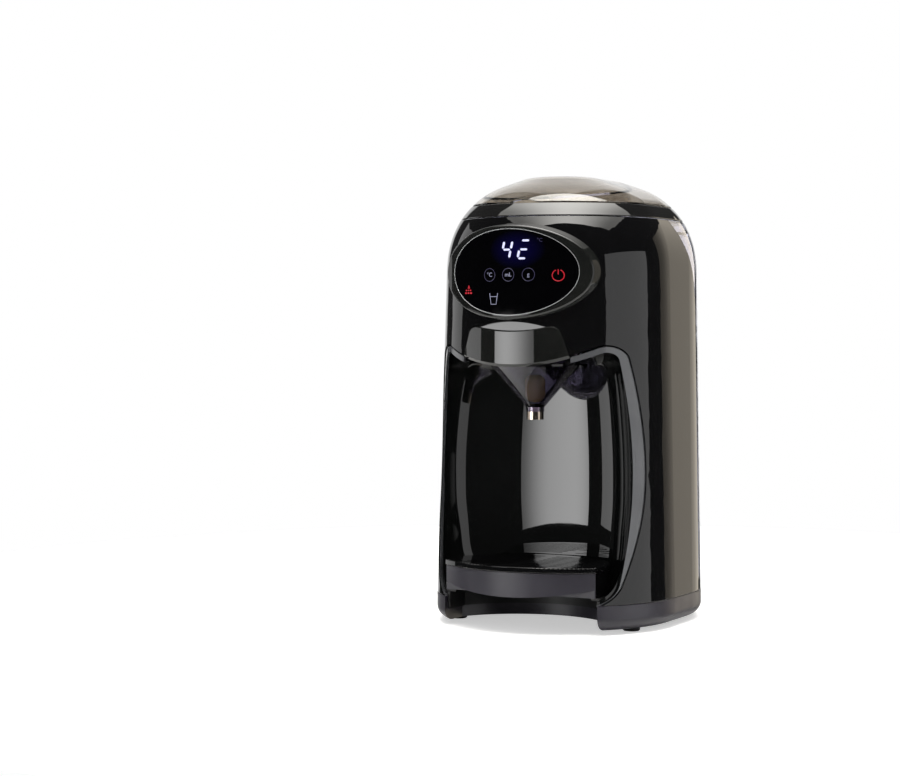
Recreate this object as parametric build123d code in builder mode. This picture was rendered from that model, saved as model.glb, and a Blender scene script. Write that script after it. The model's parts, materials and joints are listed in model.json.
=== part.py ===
from build123d import *
import math
import os

os.makedirs("parts", exist_ok=True)

# ------------------------------------------------------------------
# Baby formula maker. Millimetres, +Z up, origin under the middle of
# the machine on the table. The bottle bay opens towards -Y.
# ------------------------------------------------------------------

# outer form: a stadium in plan, a rounded dome on top
foot_r = 95.0            # stadium radius at the foot of the body
foot_half = 17.5         # its arc centres lie this far in front and behind
head_r = 89.0            # stadium radius at the shoulder
head_front = -15.0       # front arc centre at the shoulder
head_back = 23.5         # rear arc centre, keeps the back upright
z_foot = 3.0             # underside of the skirt
z_base = 22.0            # seam between skirt and body
z_head = 262.0           # shoulder, the dome starts here
z_seam = 306.6           # top edge of the body
z_rim = 317.0            # top edge of the glossy rim under the lid
z_top = 340.0
dome_power = 2.4         # superellipse of the dome
wall = 2.4
gap = 0.3                # clearance between parts that move apart
edge_round = 0.6         # rounding of the outer edges along the seams

# bottle bay
leg_x = 63.0             # inner face of each front leg
bay_back_y = -19.5       # back wall of the bay
bay_half = 86.0
bay_corner = 33.0        # plan radius of its rear corners
recess_r = 69.2          # plan radius of the arch under the tray
beyond = 130.0           # a distance past any part of the machine
waist_x, waist_z = 84.6, 108.0   # where the opening is widest
knee_x, knee_z = 75.5, 36.4      # where its side turns in towards the foot
lip_r = 145.0            # hanging lip above the bay
lip_z = 196.5            # lowest point of the lip
lip_half = 73.2          # where the lip would meet the side of the opening
lip_round = 11.0         # rounding of that corner
trim_width = 4.0         # trim round the opening
trim_foot = 0.9          # its width at its feet
trim_belly = 0.9         # how much wider it is at the waist
trim_gap = 1.3           # shadow gap between the trim and the body

# display pod
pod_z = 265.5
pod_a, pod_b = 57.5, 34.5
pod_r = 105.0            # its face is a piece of this cylinder
pod_front = -108.5
pod_flare = 4.0          # how much wider the pod is where it meets the body
pod_round = 2.4          # rounding of its front edge
glass_a, glass_b = 51.5, 31.8
digit_z = 281.8

# funnel drawer
pour_y = -62.5           # axis of the funnel and of the bottle
drawer_half = 36.9
drawer_z0, drawer_z1 = 206.0, 219.0
plate_r = 105.0
plate_round = 8.0        # its upper corners
lip_bevel = 2.0          # bevel along its lower edge

# hopper and dosing drive
hop_y = -24.0            # hopper and dosing axis
hop_r = 55.0
deck_z = 232.0
floor_z = 240.4
module_mm = 1.5
gear_teeth, pinion_teeth = 30, 15
motor_y = hop_y + module_mm * (gear_teeth + pinion_teeth) / 2
gear_z0, gear_z1 = 234.9, 239.4
flange_z = 310.4         # flange of the hopper, rests on the shelf of the rim
hinge_y, hinge_z = 95.2, 316.0
knuckle_half = 8.2       # half the length of the lid's knuckle
hinge_half = 16.0        # half the length of the whole hinge

# drip tray
tray_half = 62.2
tray_z0, tray_z1, tray_top = 27.5, 45.7, 50.0
tray_lift = 34.0         # height of its lower front edge at both ends

# water tank
tank_y = 34.6            # front wall of the tank
tank_z0, tank_z1 = 28.3, 306.3
tank_floor = 30.7        # inside of its floor
tank_plate = 296.0       # underside of the plate that closes it
cavity_y = 41.5          # front of its cavity, and further forward in the middle
cavity_front_y = 37.0
cavity_wall = 2.6        # walls round the cavity
cavity_front_wall = 5.2
dock_x, dock_z = -35.0, 42.0
cap_y = 74.0

# water path
hose_outer, hose_inner = 5.6, 4.2
pump_y = 4.0             # pump and flow meter stand above the dock
heater_x, heater_y = 42.0, 6.0


# ------------------------------------------------------------------
# shapes used by several parts
# ------------------------------------------------------------------
def stadium(r, y_front, y_back):
    """Stadium outline in plan, a half circle at the front and at the back."""
    with BuildSketch() as s:
        with BuildLine():
            Line((r, y_front), (r, y_back))
            ThreePointArc((r, y_back), (0, y_back + r), (-r, y_back))
            Line((-r, y_back), (-r, y_front))
            ThreePointArc((-r, y_front), (0, y_front - r), (r, y_front))
        make_face()
    return s.sketch


def dome_side(r, h):
    """Points of the dome's side curve, from the shoulder to the crown."""
    steps = (0, 0.25, 0.45, 0.62, 0.76, 0.87, 0.95)
    side = [(r * (1 - t**dome_power) ** (1 / dome_power), z_head + h * t) for t in steps]
    return side + [(0, z_head + h)]


def form(inset, z0, z1):
    """The machine's outer form, set in all round, kept between two heights."""
    r = head_r - inset
    h = z_top - inset - z_head
    slope = [(-0.025, 1), (-1, 0)]
    with BuildPart() as f:
        with BuildSketch(Plane.XY.offset(z_base)):
            add(stadium(foot_r - inset, -foot_half, foot_half))
        with BuildSketch(Plane.XY.offset(z_head)):
            add(stadium(r, head_front, head_back))
        loft()
        if z1 > z_head:
            for y, turn in ((head_front, -180), (head_back, 180)):
                with BuildSketch(Plane.XZ.offset(-y)):
                    with BuildLine():
                        Spline(*dome_side(r, h), tangents=slope)
                        Line((0, z_head + h), (0, z_head))
                        Line((0, z_head), (r, z_head))
                    make_face()
                revolve(axis=Axis((0, y, 0), (0, 0, 1)), revolution_arc=turn)
            with BuildSketch(Plane.XZ.offset(-head_front)):
                with BuildLine():
                    Spline(*dome_side(r, h), tangents=slope)
                    Line((r, z_head), (0, z_head))
                    mirror(about=Plane.YZ)
                make_face()
            extrude(amount=head_front - head_back)
        with Locations((0, 0, z0)):
            Box(260, 260, z1 - z0, align=(Align.CENTER, Align.CENTER, Align.MIN),
                mode=Mode.INTERSECT)
    return f.part


def foot_block(inset, z0, z1, rounding):
    """Upright stadium of the foot with a rounded lower edge."""
    with BuildPart() as b:
        with BuildSketch(Plane.XY.offset(z0)):
            add(stadium(foot_r - inset, -foot_half, foot_half))
        extrude(amount=z1 - z0)
        fillet(b.edges().group_by(Axis.Z)[0], rounding)
    return b.part


def slab(x0, x1, y0, y1, z0, z1):
    """Plain block between two corners."""
    with BuildPart() as b:
        with Locations(((x0 + x1) / 2, (y0 + y1) / 2, (z0 + z1) / 2)):
            Box(abs(x1 - x0), abs(y1 - y0), abs(z1 - z0))
    return b.part


def rod(x, y, z0, z1, r):
    """Upright cylinder."""
    with BuildPart() as b:
        with Locations((x, y, z0)):
            Cylinder(r, z1 - z0, align=(Align.CENTER, Align.CENTER, Align.MIN))
    return b.part


def rod_y(x, z, y0, y1, r):
    """Cylinder lying along Y."""
    with BuildPart() as b:
        with BuildSketch(Plane.XZ.offset(-y0)):
            with Locations((x, z)):
                Circle(r)
        extrude(amount=y0 - y1)
    return b.part


def common(a, b):
    """What two solids share."""
    with BuildPart() as c:
        add(a)
        add(b, mode=Mode.INTERSECT)
    return c.part


def less(a, b):
    """One solid without another."""
    with BuildPart() as c:
        add(a)
        add(b, mode=Mode.SUBTRACT)
    return c.part


def recess_block(grow, z0, z1):
    """Open arch between the legs, with its rounded back, grown all round."""
    half = leg_x + grow
    r = recess_r + grow
    cy = bay_back_y - recess_r
    shoulder = cy + math.sqrt(r * r - half * half)
    with BuildPart() as b:
        with BuildSketch(Plane.XY.offset(z0)):
            with BuildLine():
                Polyline((half, shoulder), (half, -beyond), (-half, -beyond), (-half, shoulder))
                ThreePointArc((-half, shoulder), (0, cy + r), (half, shoulder))
            make_face()
        extrude(amount=z1 - z0)
    return b.part


def bay_prism(inset, y_back, foot=None, belly=0.0):
    """Front opening of the bay as a prism along Y, set in from its edge.

    The inset at the foot can be another one, and the belly adds to it halfway up.
    """
    i = inset
    f = inset if foot is None else foot
    lip_centre = lip_z + lip_r
    corner_x = lip_half - 0.74 * i
    corner = (corner_x, lip_centre - math.sqrt((lip_r + i) ** 2 - corner_x**2))
    lip_mid = (corner_x / 2, lip_centre - math.sqrt((lip_r + i) ** 2 - corner_x**2 / 4))
    waist = (waist_x - i - belly, waist_z)
    knee = (knee_x - 0.9 * f, knee_z + 0.4 * f)
    toe = (leg_x - f, 22 + f / 2)
    with BuildPart() as b:
        with BuildSketch(Plane.XZ.offset(-y_back)) as face:
            with BuildLine():
                Line((0, -10), (leg_x - f, -10))
                Line((leg_x - f, -10), toe)
                shin = TangentArc(waist, knee, tangent=(0, -1))
                TangentArc(knee, toe, tangent=shin % 1)
                TangentArc(waist, corner, tangent=(0, 1))
                ThreePointArc(corner, lip_mid, (0, lip_z - i))
                mirror(about=Plane.YZ)
            make_face()
            fillet(face.vertices().group_by(Axis.Y)[-1], lip_round - i)
        extrude(amount=beyond + y_back)
    return b.part


def bay_plan(grow, z0, z1):
    """Plan of the bay, a deep U with rounded rear corners, as a block."""
    half = bay_half + grow
    back = bay_back_y + grow
    with BuildPart() as b:
        with BuildSketch(Plane.XY.offset(z0)) as plan:
            with Locations((0, (back - beyond) / 2)):
                Rectangle(2 * half, back + beyond)
            rear = plan.vertices().group_by(Axis.Y)[-1]
            fillet(rear, bay_corner + grow)
        extrude(amount=z1 - z0)
    return b.part


def drawer_prism(inset, z_low, y0):
    """Outline of the drawer front as a prism along Y."""
    i = inset
    with BuildPart() as b:
        with BuildSketch(Plane.XZ.offset(-y0)) as face:
            with BuildLine():
                ThreePointArc((-36 + i, 227.5 - i), (0, 222.7 - i), (36 - i, 227.5 - i))
                Line((36 - i, 227.5 - i), (43.5 - i, 203.8))
                Line((43.5 - i, 203.8), (43.5 - i, z_low))
                Line((43.5 - i, z_low), (-43.5 + i, z_low))
                Line((-43.5 + i, z_low), (-43.5 + i, 203.8))
                Line((-43.5 + i, 203.8), (-36 + i, 227.5 - i))
            make_face()
            fillet(face.vertices().group_by(Axis.Z)[-1], plate_round - i)
        extrude(amount=beyond + y0)
    return b.part


def ellipse_prism(a, b_half, z, y0, y1):
    """Oval prism along Y between two depths."""
    with BuildPart() as b:
        with BuildSketch(Plane.XZ.offset(-y0)):
            with Locations((0, z)):
                Ellipse(a, b_half)
        extrude(amount=y0 - y1)
    return b.part


def rear_prism(shift):
    """Everything behind the tank seam, seen from the side, moved back and up."""
    s = shift
    with BuildPart() as b:
        with BuildSketch(Plane.YZ) as side:
            with BuildLine():
                Line((34.5 + s, 28 + s), (38.5 + s, 235))
                Spline((38.5 + s, 235), (25 + s, 280), (4 + s, 310),
                       tangents=[(0.02, 1), (-0.55, 0.83)])
                Polyline((4 + s, 310), (4 + s, 330), (130, 330), (130, 28 + s), (34.5 + s, 28 + s))
            make_face()
            corner = side.vertices().sort_by_distance((0, 34.5 + s, 28 + s))[0]
            fillet(corner, 8)
        extrude(amount=110, both=True)
    return b.part


def involute(a):
    return math.tan(a) - a


def gear_points(teeth, thin):
    """Outline of a spur gear, 20 degree involute flanks with a shortened tip."""
    pitch = module_mm * teeth / 2
    base = pitch * math.cos(math.radians(20))
    tip = pitch + 0.9 * module_mm
    root = pitch - 1.15 * module_mm
    half = math.pi / (2 * teeth) - thin / pitch + involute(math.radians(20))
    first = max(base, root)
    radii = [first + (tip - first) * k / 4 for k in range(5)]
    flank = [(root, half - involute(math.acos(base / first)))]
    flank += [(r, half - involute(math.acos(min(1, base / r)))) for r in radii]
    points = []
    for n in range(teeth):
        mid = 2 * math.pi * n / teeth
        for r, a in flank:
            points.append((r * math.cos(mid - a), r * math.sin(mid - a)))
        for r, a in reversed(flank):
            points.append((r * math.cos(mid + a), r * math.sin(mid + a)))
    return points


def gear(teeth, y, turn, z0, z1):
    """Spur gear about an upright axis on the middle plane."""
    with BuildPart() as g:
        with BuildSketch(Plane.XY.offset(z0)):
            with Locations(Location((0, y, 0), (0, 0, turn))):
                with BuildLine() as outline:
                    Polyline(*gear_points(teeth, 0.12), close=True)
                add(make_face(outline.edges(), mode=Mode.PRIVATE))
        extrude(amount=z1 - z0)
    return g.part


def pipe(points, radius, bend):
    """Round rod or hose along a bent centre line."""
    with BuildPart() as p:
        with BuildLine() as path:
            FilletPolyline(*points, radius=bend)
        with BuildSketch(Plane(origin=path.line @ 0, z_dir=path.line % 0)):
            Circle(radius)
        sweep(path=path.line)
    return p.part


def hose(points, outer, inner, bend):
    """Hose with its bore."""
    with BuildPart() as h:
        add(pipe(points, outer, bend))
        add(pipe(points, inner, bend), mode=Mode.SUBTRACT)
    return h.part


def rounded(solid, radius):
    """A band of the outer form with its lower and upper outline rounded."""
    with BuildPart() as b:
        add(solid)
        levels = b.edges().group_by(Axis.Z)
        fillet(levels[0] + levels[-1], radius)
    return b.part


behind_seam = rear_prism(0)
form_body = form(0, z_base, z_seam)
form_inner = form(wall, z_base, z_seam)
pod_face = rod(0, pod_front + pod_r, 200, 330, pod_r)

# ------------------------------------------------------------------
# foot
# ------------------------------------------------------------------
feet_front = [(-72.5, -48), (72.5, -48)]
feet_rear = [(-52, 56), (52, 56)]
pan_posts = [(-62, 4), (62, 4), (-34, 64), (34, 64)]

skirt_outer = foot_block(0, z_foot, z_base, 9)
skirt_hollow = foot_block(wall, z_foot + wall, z_base, 6.6)
recess = recess_block(0, -1, z_base + 6)
recess_wall = recess_block(wall, z_foot, z_base)
pan_cut = slab(-100, 100, -14, 100, 0, 10)

with BuildPart() as base_skirt:
    add(skirt_outer)
    fillet(base_skirt.edges().group_by(Axis.Z)[-1], edge_round)
    add(skirt_hollow, mode=Mode.SUBTRACT)
    add(common(recess_wall, skirt_outer))
    add(recess, mode=Mode.SUBTRACT)
    # service opening in the underside
    with BuildSketch(Plane.XY.offset(z_foot)):
        add(stadium(foot_r - 17, -foot_half, foot_half))
        with Locations((0, -64)):
            Rectangle(220, 100, mode=Mode.SUBTRACT)
    extrude(amount=wall, mode=Mode.SUBTRACT)
    # holes for the plugs of the front feet
    with BuildSketch(Plane.XY.offset(z_foot)):
        with Locations(*feet_front):
            Circle(2.5)
    extrude(amount=wall, mode=Mode.SUBTRACT)
    # cable entry
    add(rod_y(0, 13, 100, 120, 5), mode=Mode.SUBTRACT)
base_skirt.part.label = "base_skirt"
export_step(base_skirt.part, "parts/base_skirt.step")

with BuildPart() as base_pan:
    with BuildSketch(Plane.XY.offset(z_foot)):
        add(stadium(foot_r - 17.2, -foot_half, foot_half))
        with Locations((0, -63.8)):
            Rectangle(220, 100, mode=Mode.SUBTRACT)
        with Locations(*feet_rear):
            Circle(2.5, mode=Mode.SUBTRACT)
        with Locations(*pan_posts):
            Circle(1.8, mode=Mode.SUBTRACT)
        # cooling slots
        with GridLocations(14, 30, 3, 1):
            with Locations((0, 30)):
                SlotOverall(30, 3, rotation=90, mode=Mode.SUBTRACT)
    extrude(amount=wall)
    # counterbores for the screw heads
    with BuildSketch(Plane.XY.offset(z_foot)):
        with Locations(*pan_posts):
            Circle(3.2)
    extrude(amount=1.6, mode=Mode.SUBTRACT)
base_pan.part.label = "base_pan"
export_step(base_pan.part, "parts/base_pan.step")

with BuildPart() as rubber_feet:
    with BuildSketch():
        with Locations(*feet_front):
            Circle(6.5)
        with Locations(*feet_rear):
            Circle(9)
    extrude(amount=z_foot)
    chamfer(rubber_feet.edges().group_by(Axis.Z)[0], 0.8)
    with BuildSketch(Plane.XY.offset(z_foot)):
        with Locations(*feet_front, *feet_rear):
            Circle(2.5)
    extrude(amount=wall)
rubber_feet.part.label = "rubber_feet"
export_step(rubber_feet.part, "parts/rubber_feet.step")

with BuildPart() as base_deck:
    with BuildSketch(Plane.XY.offset(z_base - wall)):
        add(stadium(foot_r - wall, -foot_half, foot_half))
    extrude(amount=wall)
    add(recess_block(wall, 0, 30), mode=Mode.SUBTRACT)
    # posts that the pan is screwed to
    with BuildSketch(Plane.XY.offset(z_foot + wall)):
        with Locations(*pan_posts):
            Circle(4.5)
    extrude(amount=z_base - 2 * wall - z_foot)
    with BuildSketch(Plane.XY.offset(z_foot + wall)):
        with Locations(*pan_posts):
            Circle(1.5)
    extrude(amount=11, mode=Mode.SUBTRACT)
    # cable passage
    with BuildSketch(Plane.XY.offset(z_base - wall)):
        with Locations((-62, 24)):
            Circle(6)
    extrude(amount=wall, mode=Mode.SUBTRACT)
base_deck.part.label = "base_deck"
export_step(base_deck.part, "parts/base_deck.step")

with BuildPart() as base_screws:
    with BuildSketch(Plane.XY.offset(z_foot + 0.2)):
        with Locations(*pan_posts):
            Circle(2.9)
    extrude(amount=1.4)
    with BuildSketch(Plane.XY.offset(z_foot + 0.2)):
        with Locations(*pan_posts):
            RegularPolygon(1.3, 6)
    extrude(amount=0.8, mode=Mode.SUBTRACT)
    with BuildSketch(Plane.XY.offset(z_foot + 1.6)):
        with Locations(*pan_posts):
            Circle(1.5)
    extrude(amount=10)
base_screws.part.label = "base_screws"
export_step(base_screws.part, "parts/base_screws.step")

# bush in the rear wall of the skirt
with BuildPart() as cord_gland:
    add(rod_y(0, 13, 104.6, 106.6, 6.4))
    add(rod_y(0, 13, 106.6, 112.3, 5))
    add(rod_y(0, 13, 104.6, 112.3, 3.3), mode=Mode.SUBTRACT)
cord_gland.part.label = "cord_gland"
export_step(cord_gland.part, "parts/cord_gland.step")

# ------------------------------------------------------------------
# body
# ------------------------------------------------------------------
bay_cut = bay_prism(-trim_gap, -20)
drawer_cut = drawer_prism(0, 190, -70)

with BuildPart() as body_shell:
    add(rounded(form_body, edge_round))
    add(form_inner, mode=Mode.SUBTRACT)
    # thickened web behind the finger recess
    add(common(form_body, slab(-34, 34, -120, -92, 219, 231.6)))
    add(bay_cut, mode=Mode.SUBTRACT)
    add(drawer_cut, mode=Mode.SUBTRACT)
    add(ellipse_prism(54.3, 33.2, pod_z, -60, -130), mode=Mode.SUBTRACT)
    # finger recess above the drawer front, a shallow lens
    with BuildSketch(Plane.XZ.offset(100.5)):
        with BuildLine():
            ThreePointArc((-27, 225.3), (0, 222.7), (27, 225.3))
            ThreePointArc((27, 225.3), (0, 229.2), (-27, 225.3))
        make_face()
    extrude(amount=20, mode=Mode.SUBTRACT)
    add(behind_seam, mode=Mode.SUBTRACT)
    # shelf under the tank
    add(common(form_inner, slab(-100, 100, 34.2, 120, 25.6, 28)))
body_shell.part.label = "body_shell"
export_step(body_shell.part, "parts/body_shell.step")

# glossy tub behind the opening
liner_outer = common(bay_prism(trim_width - 2.2, -10), bay_plan(2.2, z_base, 260))
liner_inner = common(bay_prism(trim_width, -10), bay_plan(0, z_base + 2.2, 260))

with BuildPart() as ceiling_slot:
    with BuildSketch(Plane.XY.offset(170)):
        with Locations((0, pour_y)):
            Circle(39.4)
        with Locations((0, pour_y - 40)):
            Rectangle(78.8, 80)
    extrude(amount=60)

trim_half = 43.8
with BuildPart() as bay_liner:
    add(common(liner_outer, form(3.2, z_base, 240)))
    add(liner_inner, mode=Mode.SUBTRACT)
    add(recess_block(0, 0, z_base + 3), mode=Mode.SUBTRACT)
    add(ceiling_slot.part, mode=Mode.SUBTRACT)
bay_liner.part.label = "bay_liner"
export_step(bay_liner.part, "parts/bay_liner.step")

# trim round the opening, set back a little from the skin behind a narrow shadow gap, slim at its
# feet and left open for the drawer
trim_ring = less(bay_prism(0, -20), bay_prism(trim_width, -10, trim_foot, trim_belly))
with BuildPart() as bay_trim:
    add(common(trim_ring, less(form(0.8, z_base, 240), form(3.2, z_base, 240))))
    with Locations((0, -90, 205)):
        Box(2 * trim_half, 60, 60, mode=Mode.SUBTRACT)
bay_trim.part.label = "bay_trim"
export_step(bay_trim.part, "parts/bay_trim.step")

# ledge round the arch that the tray rests on
ledge_outer = recess_block(-0.05, 12, 27.2)
ledge_inner = recess_block(-7, 25.2, 28)
leaf_inner = recess_block(-2.2, 11, 25.2)
with BuildPart() as tray_ledge:
    add(ledge_outer)
    add(ledge_inner, mode=Mode.SUBTRACT)
    add(leaf_inner, mode=Mode.SUBTRACT)
    add(slab(-100, 100, -200, -84, 0, 40), mode=Mode.SUBTRACT)
    add(bay_liner.part, mode=Mode.SUBTRACT)
tray_ledge.part.label = "tray_ledge"
export_step(tray_ledge.part, "parts/tray_ledge.step")

with BuildPart() as rear_bulkhead:
    add(common(form(wall, z_base, z_head), slab(-100, 100, 31.7, 34.2, z_base, z_head)))
    add(rod_y(dock_x, dock_z, 30, 36, 9.5), mode=Mode.SUBTRACT)
    # hose and wire passages
    with BuildSketch(Plane.XZ.offset(-34.2)):
        with Locations((60, 60), (60, 200)):
            SlotOverall(24, 8, rotation=90)
    extrude(amount=2.5, mode=Mode.SUBTRACT)
rear_bulkhead.part.label = "rear_bulkhead"
export_step(rear_bulkhead.part, "parts/rear_bulkhead.step")

# ------------------------------------------------------------------
# display pod
# ------------------------------------------------------------------
with BuildPart() as display_bezel:
    # oval pod, a little wider towards the body, with a rounded front edge
    with BuildSketch(Plane.XZ.offset(80)):
        with Locations((0, pod_z)):
            Ellipse(pod_a + pod_flare, pod_b + pod_flare)
    with BuildSketch(Plane.XZ.offset(112)):
        with Locations((0, pod_z)):
            Ellipse(pod_a - 0.5, pod_b - 0.5)
    loft()
    add(pod_face, mode=Mode.INTERSECT)
    front_edge = display_bezel.edges().filter_by(lambda e: e.length > 200).sort_by(Axis.Y)[0]
    fillet(front_edge, pod_round)
    add(form(0, 200, 320), mode=Mode.SUBTRACT)
    spigot = common(ellipse_prism(54, 32.9, pod_z, -60, -106), pod_face)
    add(less(spigot, form(4.5, 200, 320)))
    # seat for the glass, then the window through the rest
    seat = rod(0, pod_front + pod_r, 200, 330, pod_r - 2.6)
    add(less(ellipse_prism(glass_a, glass_b, pod_z, -60, -120), seat), mode=Mode.SUBTRACT)
    add(ellipse_prism(49.6, 29.9, pod_z, -60, -120), mode=Mode.SUBTRACT)
display_bezel.part.label = "display_bezel"
export_step(display_bezel.part, "parts/display_bezel.step")

with BuildPart() as display_glass:
    add(ellipse_prism(glass_a - 0.2, glass_b - 0.2, pod_z, -60, -120))
    add(rod(0, pod_front + pod_r, 200, 330, pod_r - 0.5), mode=Mode.INTERSECT)
    add(rod(0, pod_front + pod_r, 200, 330, pod_r - 2.5), mode=Mode.SUBTRACT)
display_glass.part.label = "display_glass"
export_step(display_glass.part, "parts/display_glass.step")

board_y = -92.2
with BuildPart() as display_board:
    add(ellipse_prism(48.5, 28.8, pod_z, board_y + 1.6, board_y))
    # controller and connector on the back
    with Locations((-12, board_y + 2.4, pod_z), (24, board_y + 3.2, pod_z + 8)):
        Box(12, 1.6, 12)
    with Locations((20, board_y + 3.6, pod_z - 14)):
        Box(22, 4, 6)
display_board.part.label = "display_board"
export_step(display_board.part, "parts/display_board.step")

with BuildPart() as digit_module:
    add(slab(-12, 23, -99.5, board_y, digit_z - 10.3, digit_z + 10.2))
    for x in (-4.5, 12.5):
        with BuildSketch(Plane.XZ.offset(99.5)):
            with Locations((x + 1.5, digit_z)):
                Rectangle(8.4, 13.6)
                Rectangle(4.6, 4.2, mode=Mode.SUBTRACT)
        extrude(amount=0.6)
digit_module.part.label = "digit_module"
export_step(digit_module.part, "parts/digit_module.step")

# light guides behind the touch symbols
key_spots = [(-15.8, 263.5), (0, 263.5), (15.8, 263.5), (37, 262.7), (-36, 253), (-12, 246)]
with BuildPart() as key_lights:
    with BuildSketch(Plane.XZ.offset(-board_y)):
        with Locations(*key_spots):
            Circle(4.4)
    extrude(amount=4)
    with BuildSketch(Plane.XZ.offset(-board_y + 4)):
        with Locations(*key_spots):
            Circle(3.2)
    extrude(amount=1)
key_lights.part.label = "key_lights"
export_step(key_lights.part, "parts/key_lights.step")

# ------------------------------------------------------------------
# dosing deck and drive
# ------------------------------------------------------------------
guide_screws = [(-40, -80), (40, -80), (-40, -34), (40, -34)]
with BuildPart() as drive_deck:
    add(common(form(wall, deck_z, deck_z + wall), slab(-100, 100, -87, 31.7, 230, 240)))
    with BuildSketch(Plane.XY.offset(deck_z)):
        with Locations((0, pour_y)):
            Circle(11)
        with Locations((0, motor_y)):
            Circle(4.5)
        with Locations((62, 12), (-62, 12)):
            Circle(7)
        with Locations(*guide_screws):
            Circle(1.5)
    extrude(amount=wall, mode=Mode.SUBTRACT)
    with BuildSketch(Plane.XY.offset(deck_z + 1)):
        with Locations(*guide_screws):
            Circle(2.8)
    extrude(amount=wall, mode=Mode.SUBTRACT)
drive_deck.part.label = "drive_deck"
export_step(drive_deck.part, "parts/drive_deck.step")

with BuildPart() as drawer_guides:
    for s in (1, -1):
        with BuildSketch(Plane.XZ.offset(26)):
            with BuildLine():
                Polyline((37.3 * s, 208), (42.6 * s, 208), (42.6 * s, 232), (37.3 * s, 232),
                         (37.3 * s, 214.4), (39.3 * s, 214.4), (39.3 * s, 210.6),
                         (37.3 * s, 210.6), close=True)
            make_face()
        extrude(amount=64)
    # way for the hot water spout
    add(slab(30, 50, -57, -43, 221.5, 232), mode=Mode.SUBTRACT)
    with BuildSketch(Plane.XY.offset(222)):
        with Locations(*guide_screws):
            Circle(1.2)
    extrude(amount=10, mode=Mode.SUBTRACT)
drawer_guides.part.label = "drawer_guides"
export_step(drawer_guides.part, "parts/drawer_guides.step")

with BuildPart() as deck_screws:
    with BuildSketch(Plane.XY.offset(deck_z + 1)):
        with Locations(*guide_screws):
            Circle(2.6)
    extrude(amount=1.4)
    with BuildSketch(Plane.XY.offset(deck_z + 1.6)):
        with Locations(*guide_screws):
            RegularPolygon(1.2, 6)
    extrude(amount=1, mode=Mode.SUBTRACT)
    with BuildSketch(Plane.XY.offset(deck_z - 9)):
        with Locations(*guide_screws):
            Circle(1.2)
    extrude(amount=10)
deck_screws.part.label = "deck_screws"
export_step(deck_screws.part, "parts/deck_screws.step")

# collar that leads the powder from the hopper's outlet down into the funnel
chute_top = floor_z - gap
with BuildPart() as powder_chute:
    with BuildSketch(Plane.XZ):
        with BuildLine():
            Polyline((10, 223), (11, 223), (11, 229), (15.5, 229), (15.5, 232), (11, 232),
                     (11, chute_top), (9.8, chute_top), (9.8, 234), (8.8, 223), (10, 223))
        make_face()
    revolve(axis=Axis.Z)
powder_chute.part.label = "powder_chute"

with BuildPart() as dosing_motor:
    add(rod(0, motor_y, 202, deck_z, 18.4))
    add(rod(0, motor_y, 200, 202, 8))
    # motor terminals
    add(slab(-9, -6, motor_y - 2, motor_y + 2, 197, 202))
    add(slab(6, 9, motor_y - 2, motor_y + 2, 197, 202))
    add(rod(0, motor_y, 224, deck_z, 3.06), mode=Mode.SUBTRACT)
dosing_motor.part.label = "dosing_motor"
export_step(dosing_motor.part, "parts/dosing_motor.step")

with BuildPart() as drive_pinion:
    add(gear(pinion_teeth, motor_y, 6, gear_z0, gear_z1))
    add(rod(0, motor_y, 224.5, gear_z1 + 0.5, 3))
drive_pinion.part.label = "drive_pinion"
export_step(drive_pinion.part, "parts/drive_pinion.step")

with BuildPart() as dosing_gear:
    add(gear(gear_teeth, hop_y, 0, gear_z0, gear_z1))
    add(rod(0, hop_y, gear_z0, 240, 7))
    add(rod(0, hop_y, gear_z0, 240, 4), mode=Mode.SUBTRACT)
    # lightening holes between hub and rim
    with BuildSketch(Plane.XY.offset(gear_z0)):
        with Locations((0, hop_y)):
            with PolarLocations(13.5, 6):
                Circle(3.6)
    extrude(amount=gear_z1 - gear_z0, mode=Mode.SUBTRACT)
dosing_gear.part.label = "dosing_gear"
export_step(dosing_gear.part, "parts/dosing_gear.step")

with BuildPart() as dosing_shaft:
    add(rod(0, hop_y, gear_z0, 287, 4))
    fillet(dosing_shaft.edges().group_by(Axis.Z)[-1], 1.5)
dosing_shaft.part.label = "dosing_shaft"
export_step(dosing_shaft.part, "parts/dosing_shaft.step")

outlet_radius = hop_y - pour_y
with BuildPart() as dosing_wheel:
    with BuildSketch(Plane.XY.offset(243.3)):
        with Locations((0, hop_y)):
            Circle(52.4)
            Circle(4, mode=Mode.SUBTRACT)
            with PolarLocations(outlet_radius, 8, start_angle=22.5):
                Circle(8.6, mode=Mode.SUBTRACT)
    extrude(amount=14)
    # shallow well round the hub
    with BuildSketch(Plane.XY.offset(249)):
        with Locations((0, hop_y)):
            Circle(26)
            Circle(9, mode=Mode.SUBTRACT)
    extrude(amount=9, mode=Mode.SUBTRACT)
dosing_wheel.part.label = "dosing_wheel"
export_step(dosing_wheel.part, "parts/dosing_wheel.step")

with BuildPart() as stirrer:
    add(rod(0, hop_y, 260, 276, 8))
    for turn in (0, 120, 240):
        with BuildSketch(Plane.XY.offset(260.5)):
            with Locations(Location((0, hop_y, 0), (0, 0, turn))):
                with Locations((25, 0)):
                    SlotOverall(48, 5)
        extrude(amount=4)
        with BuildSketch(Plane.XY.offset(260.5)):
            with Locations(Location((0, hop_y, 0), (0, 0, turn))):
                with Locations((45.5, 0)):
                    Circle(2.4)
        extrude(amount=26)
    add(rod(0, hop_y, 255, 290, 4), mode=Mode.SUBTRACT)
stirrer.part.label = "stirrer"
export_step(stirrer.part, "parts/stirrer.step")

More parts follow.
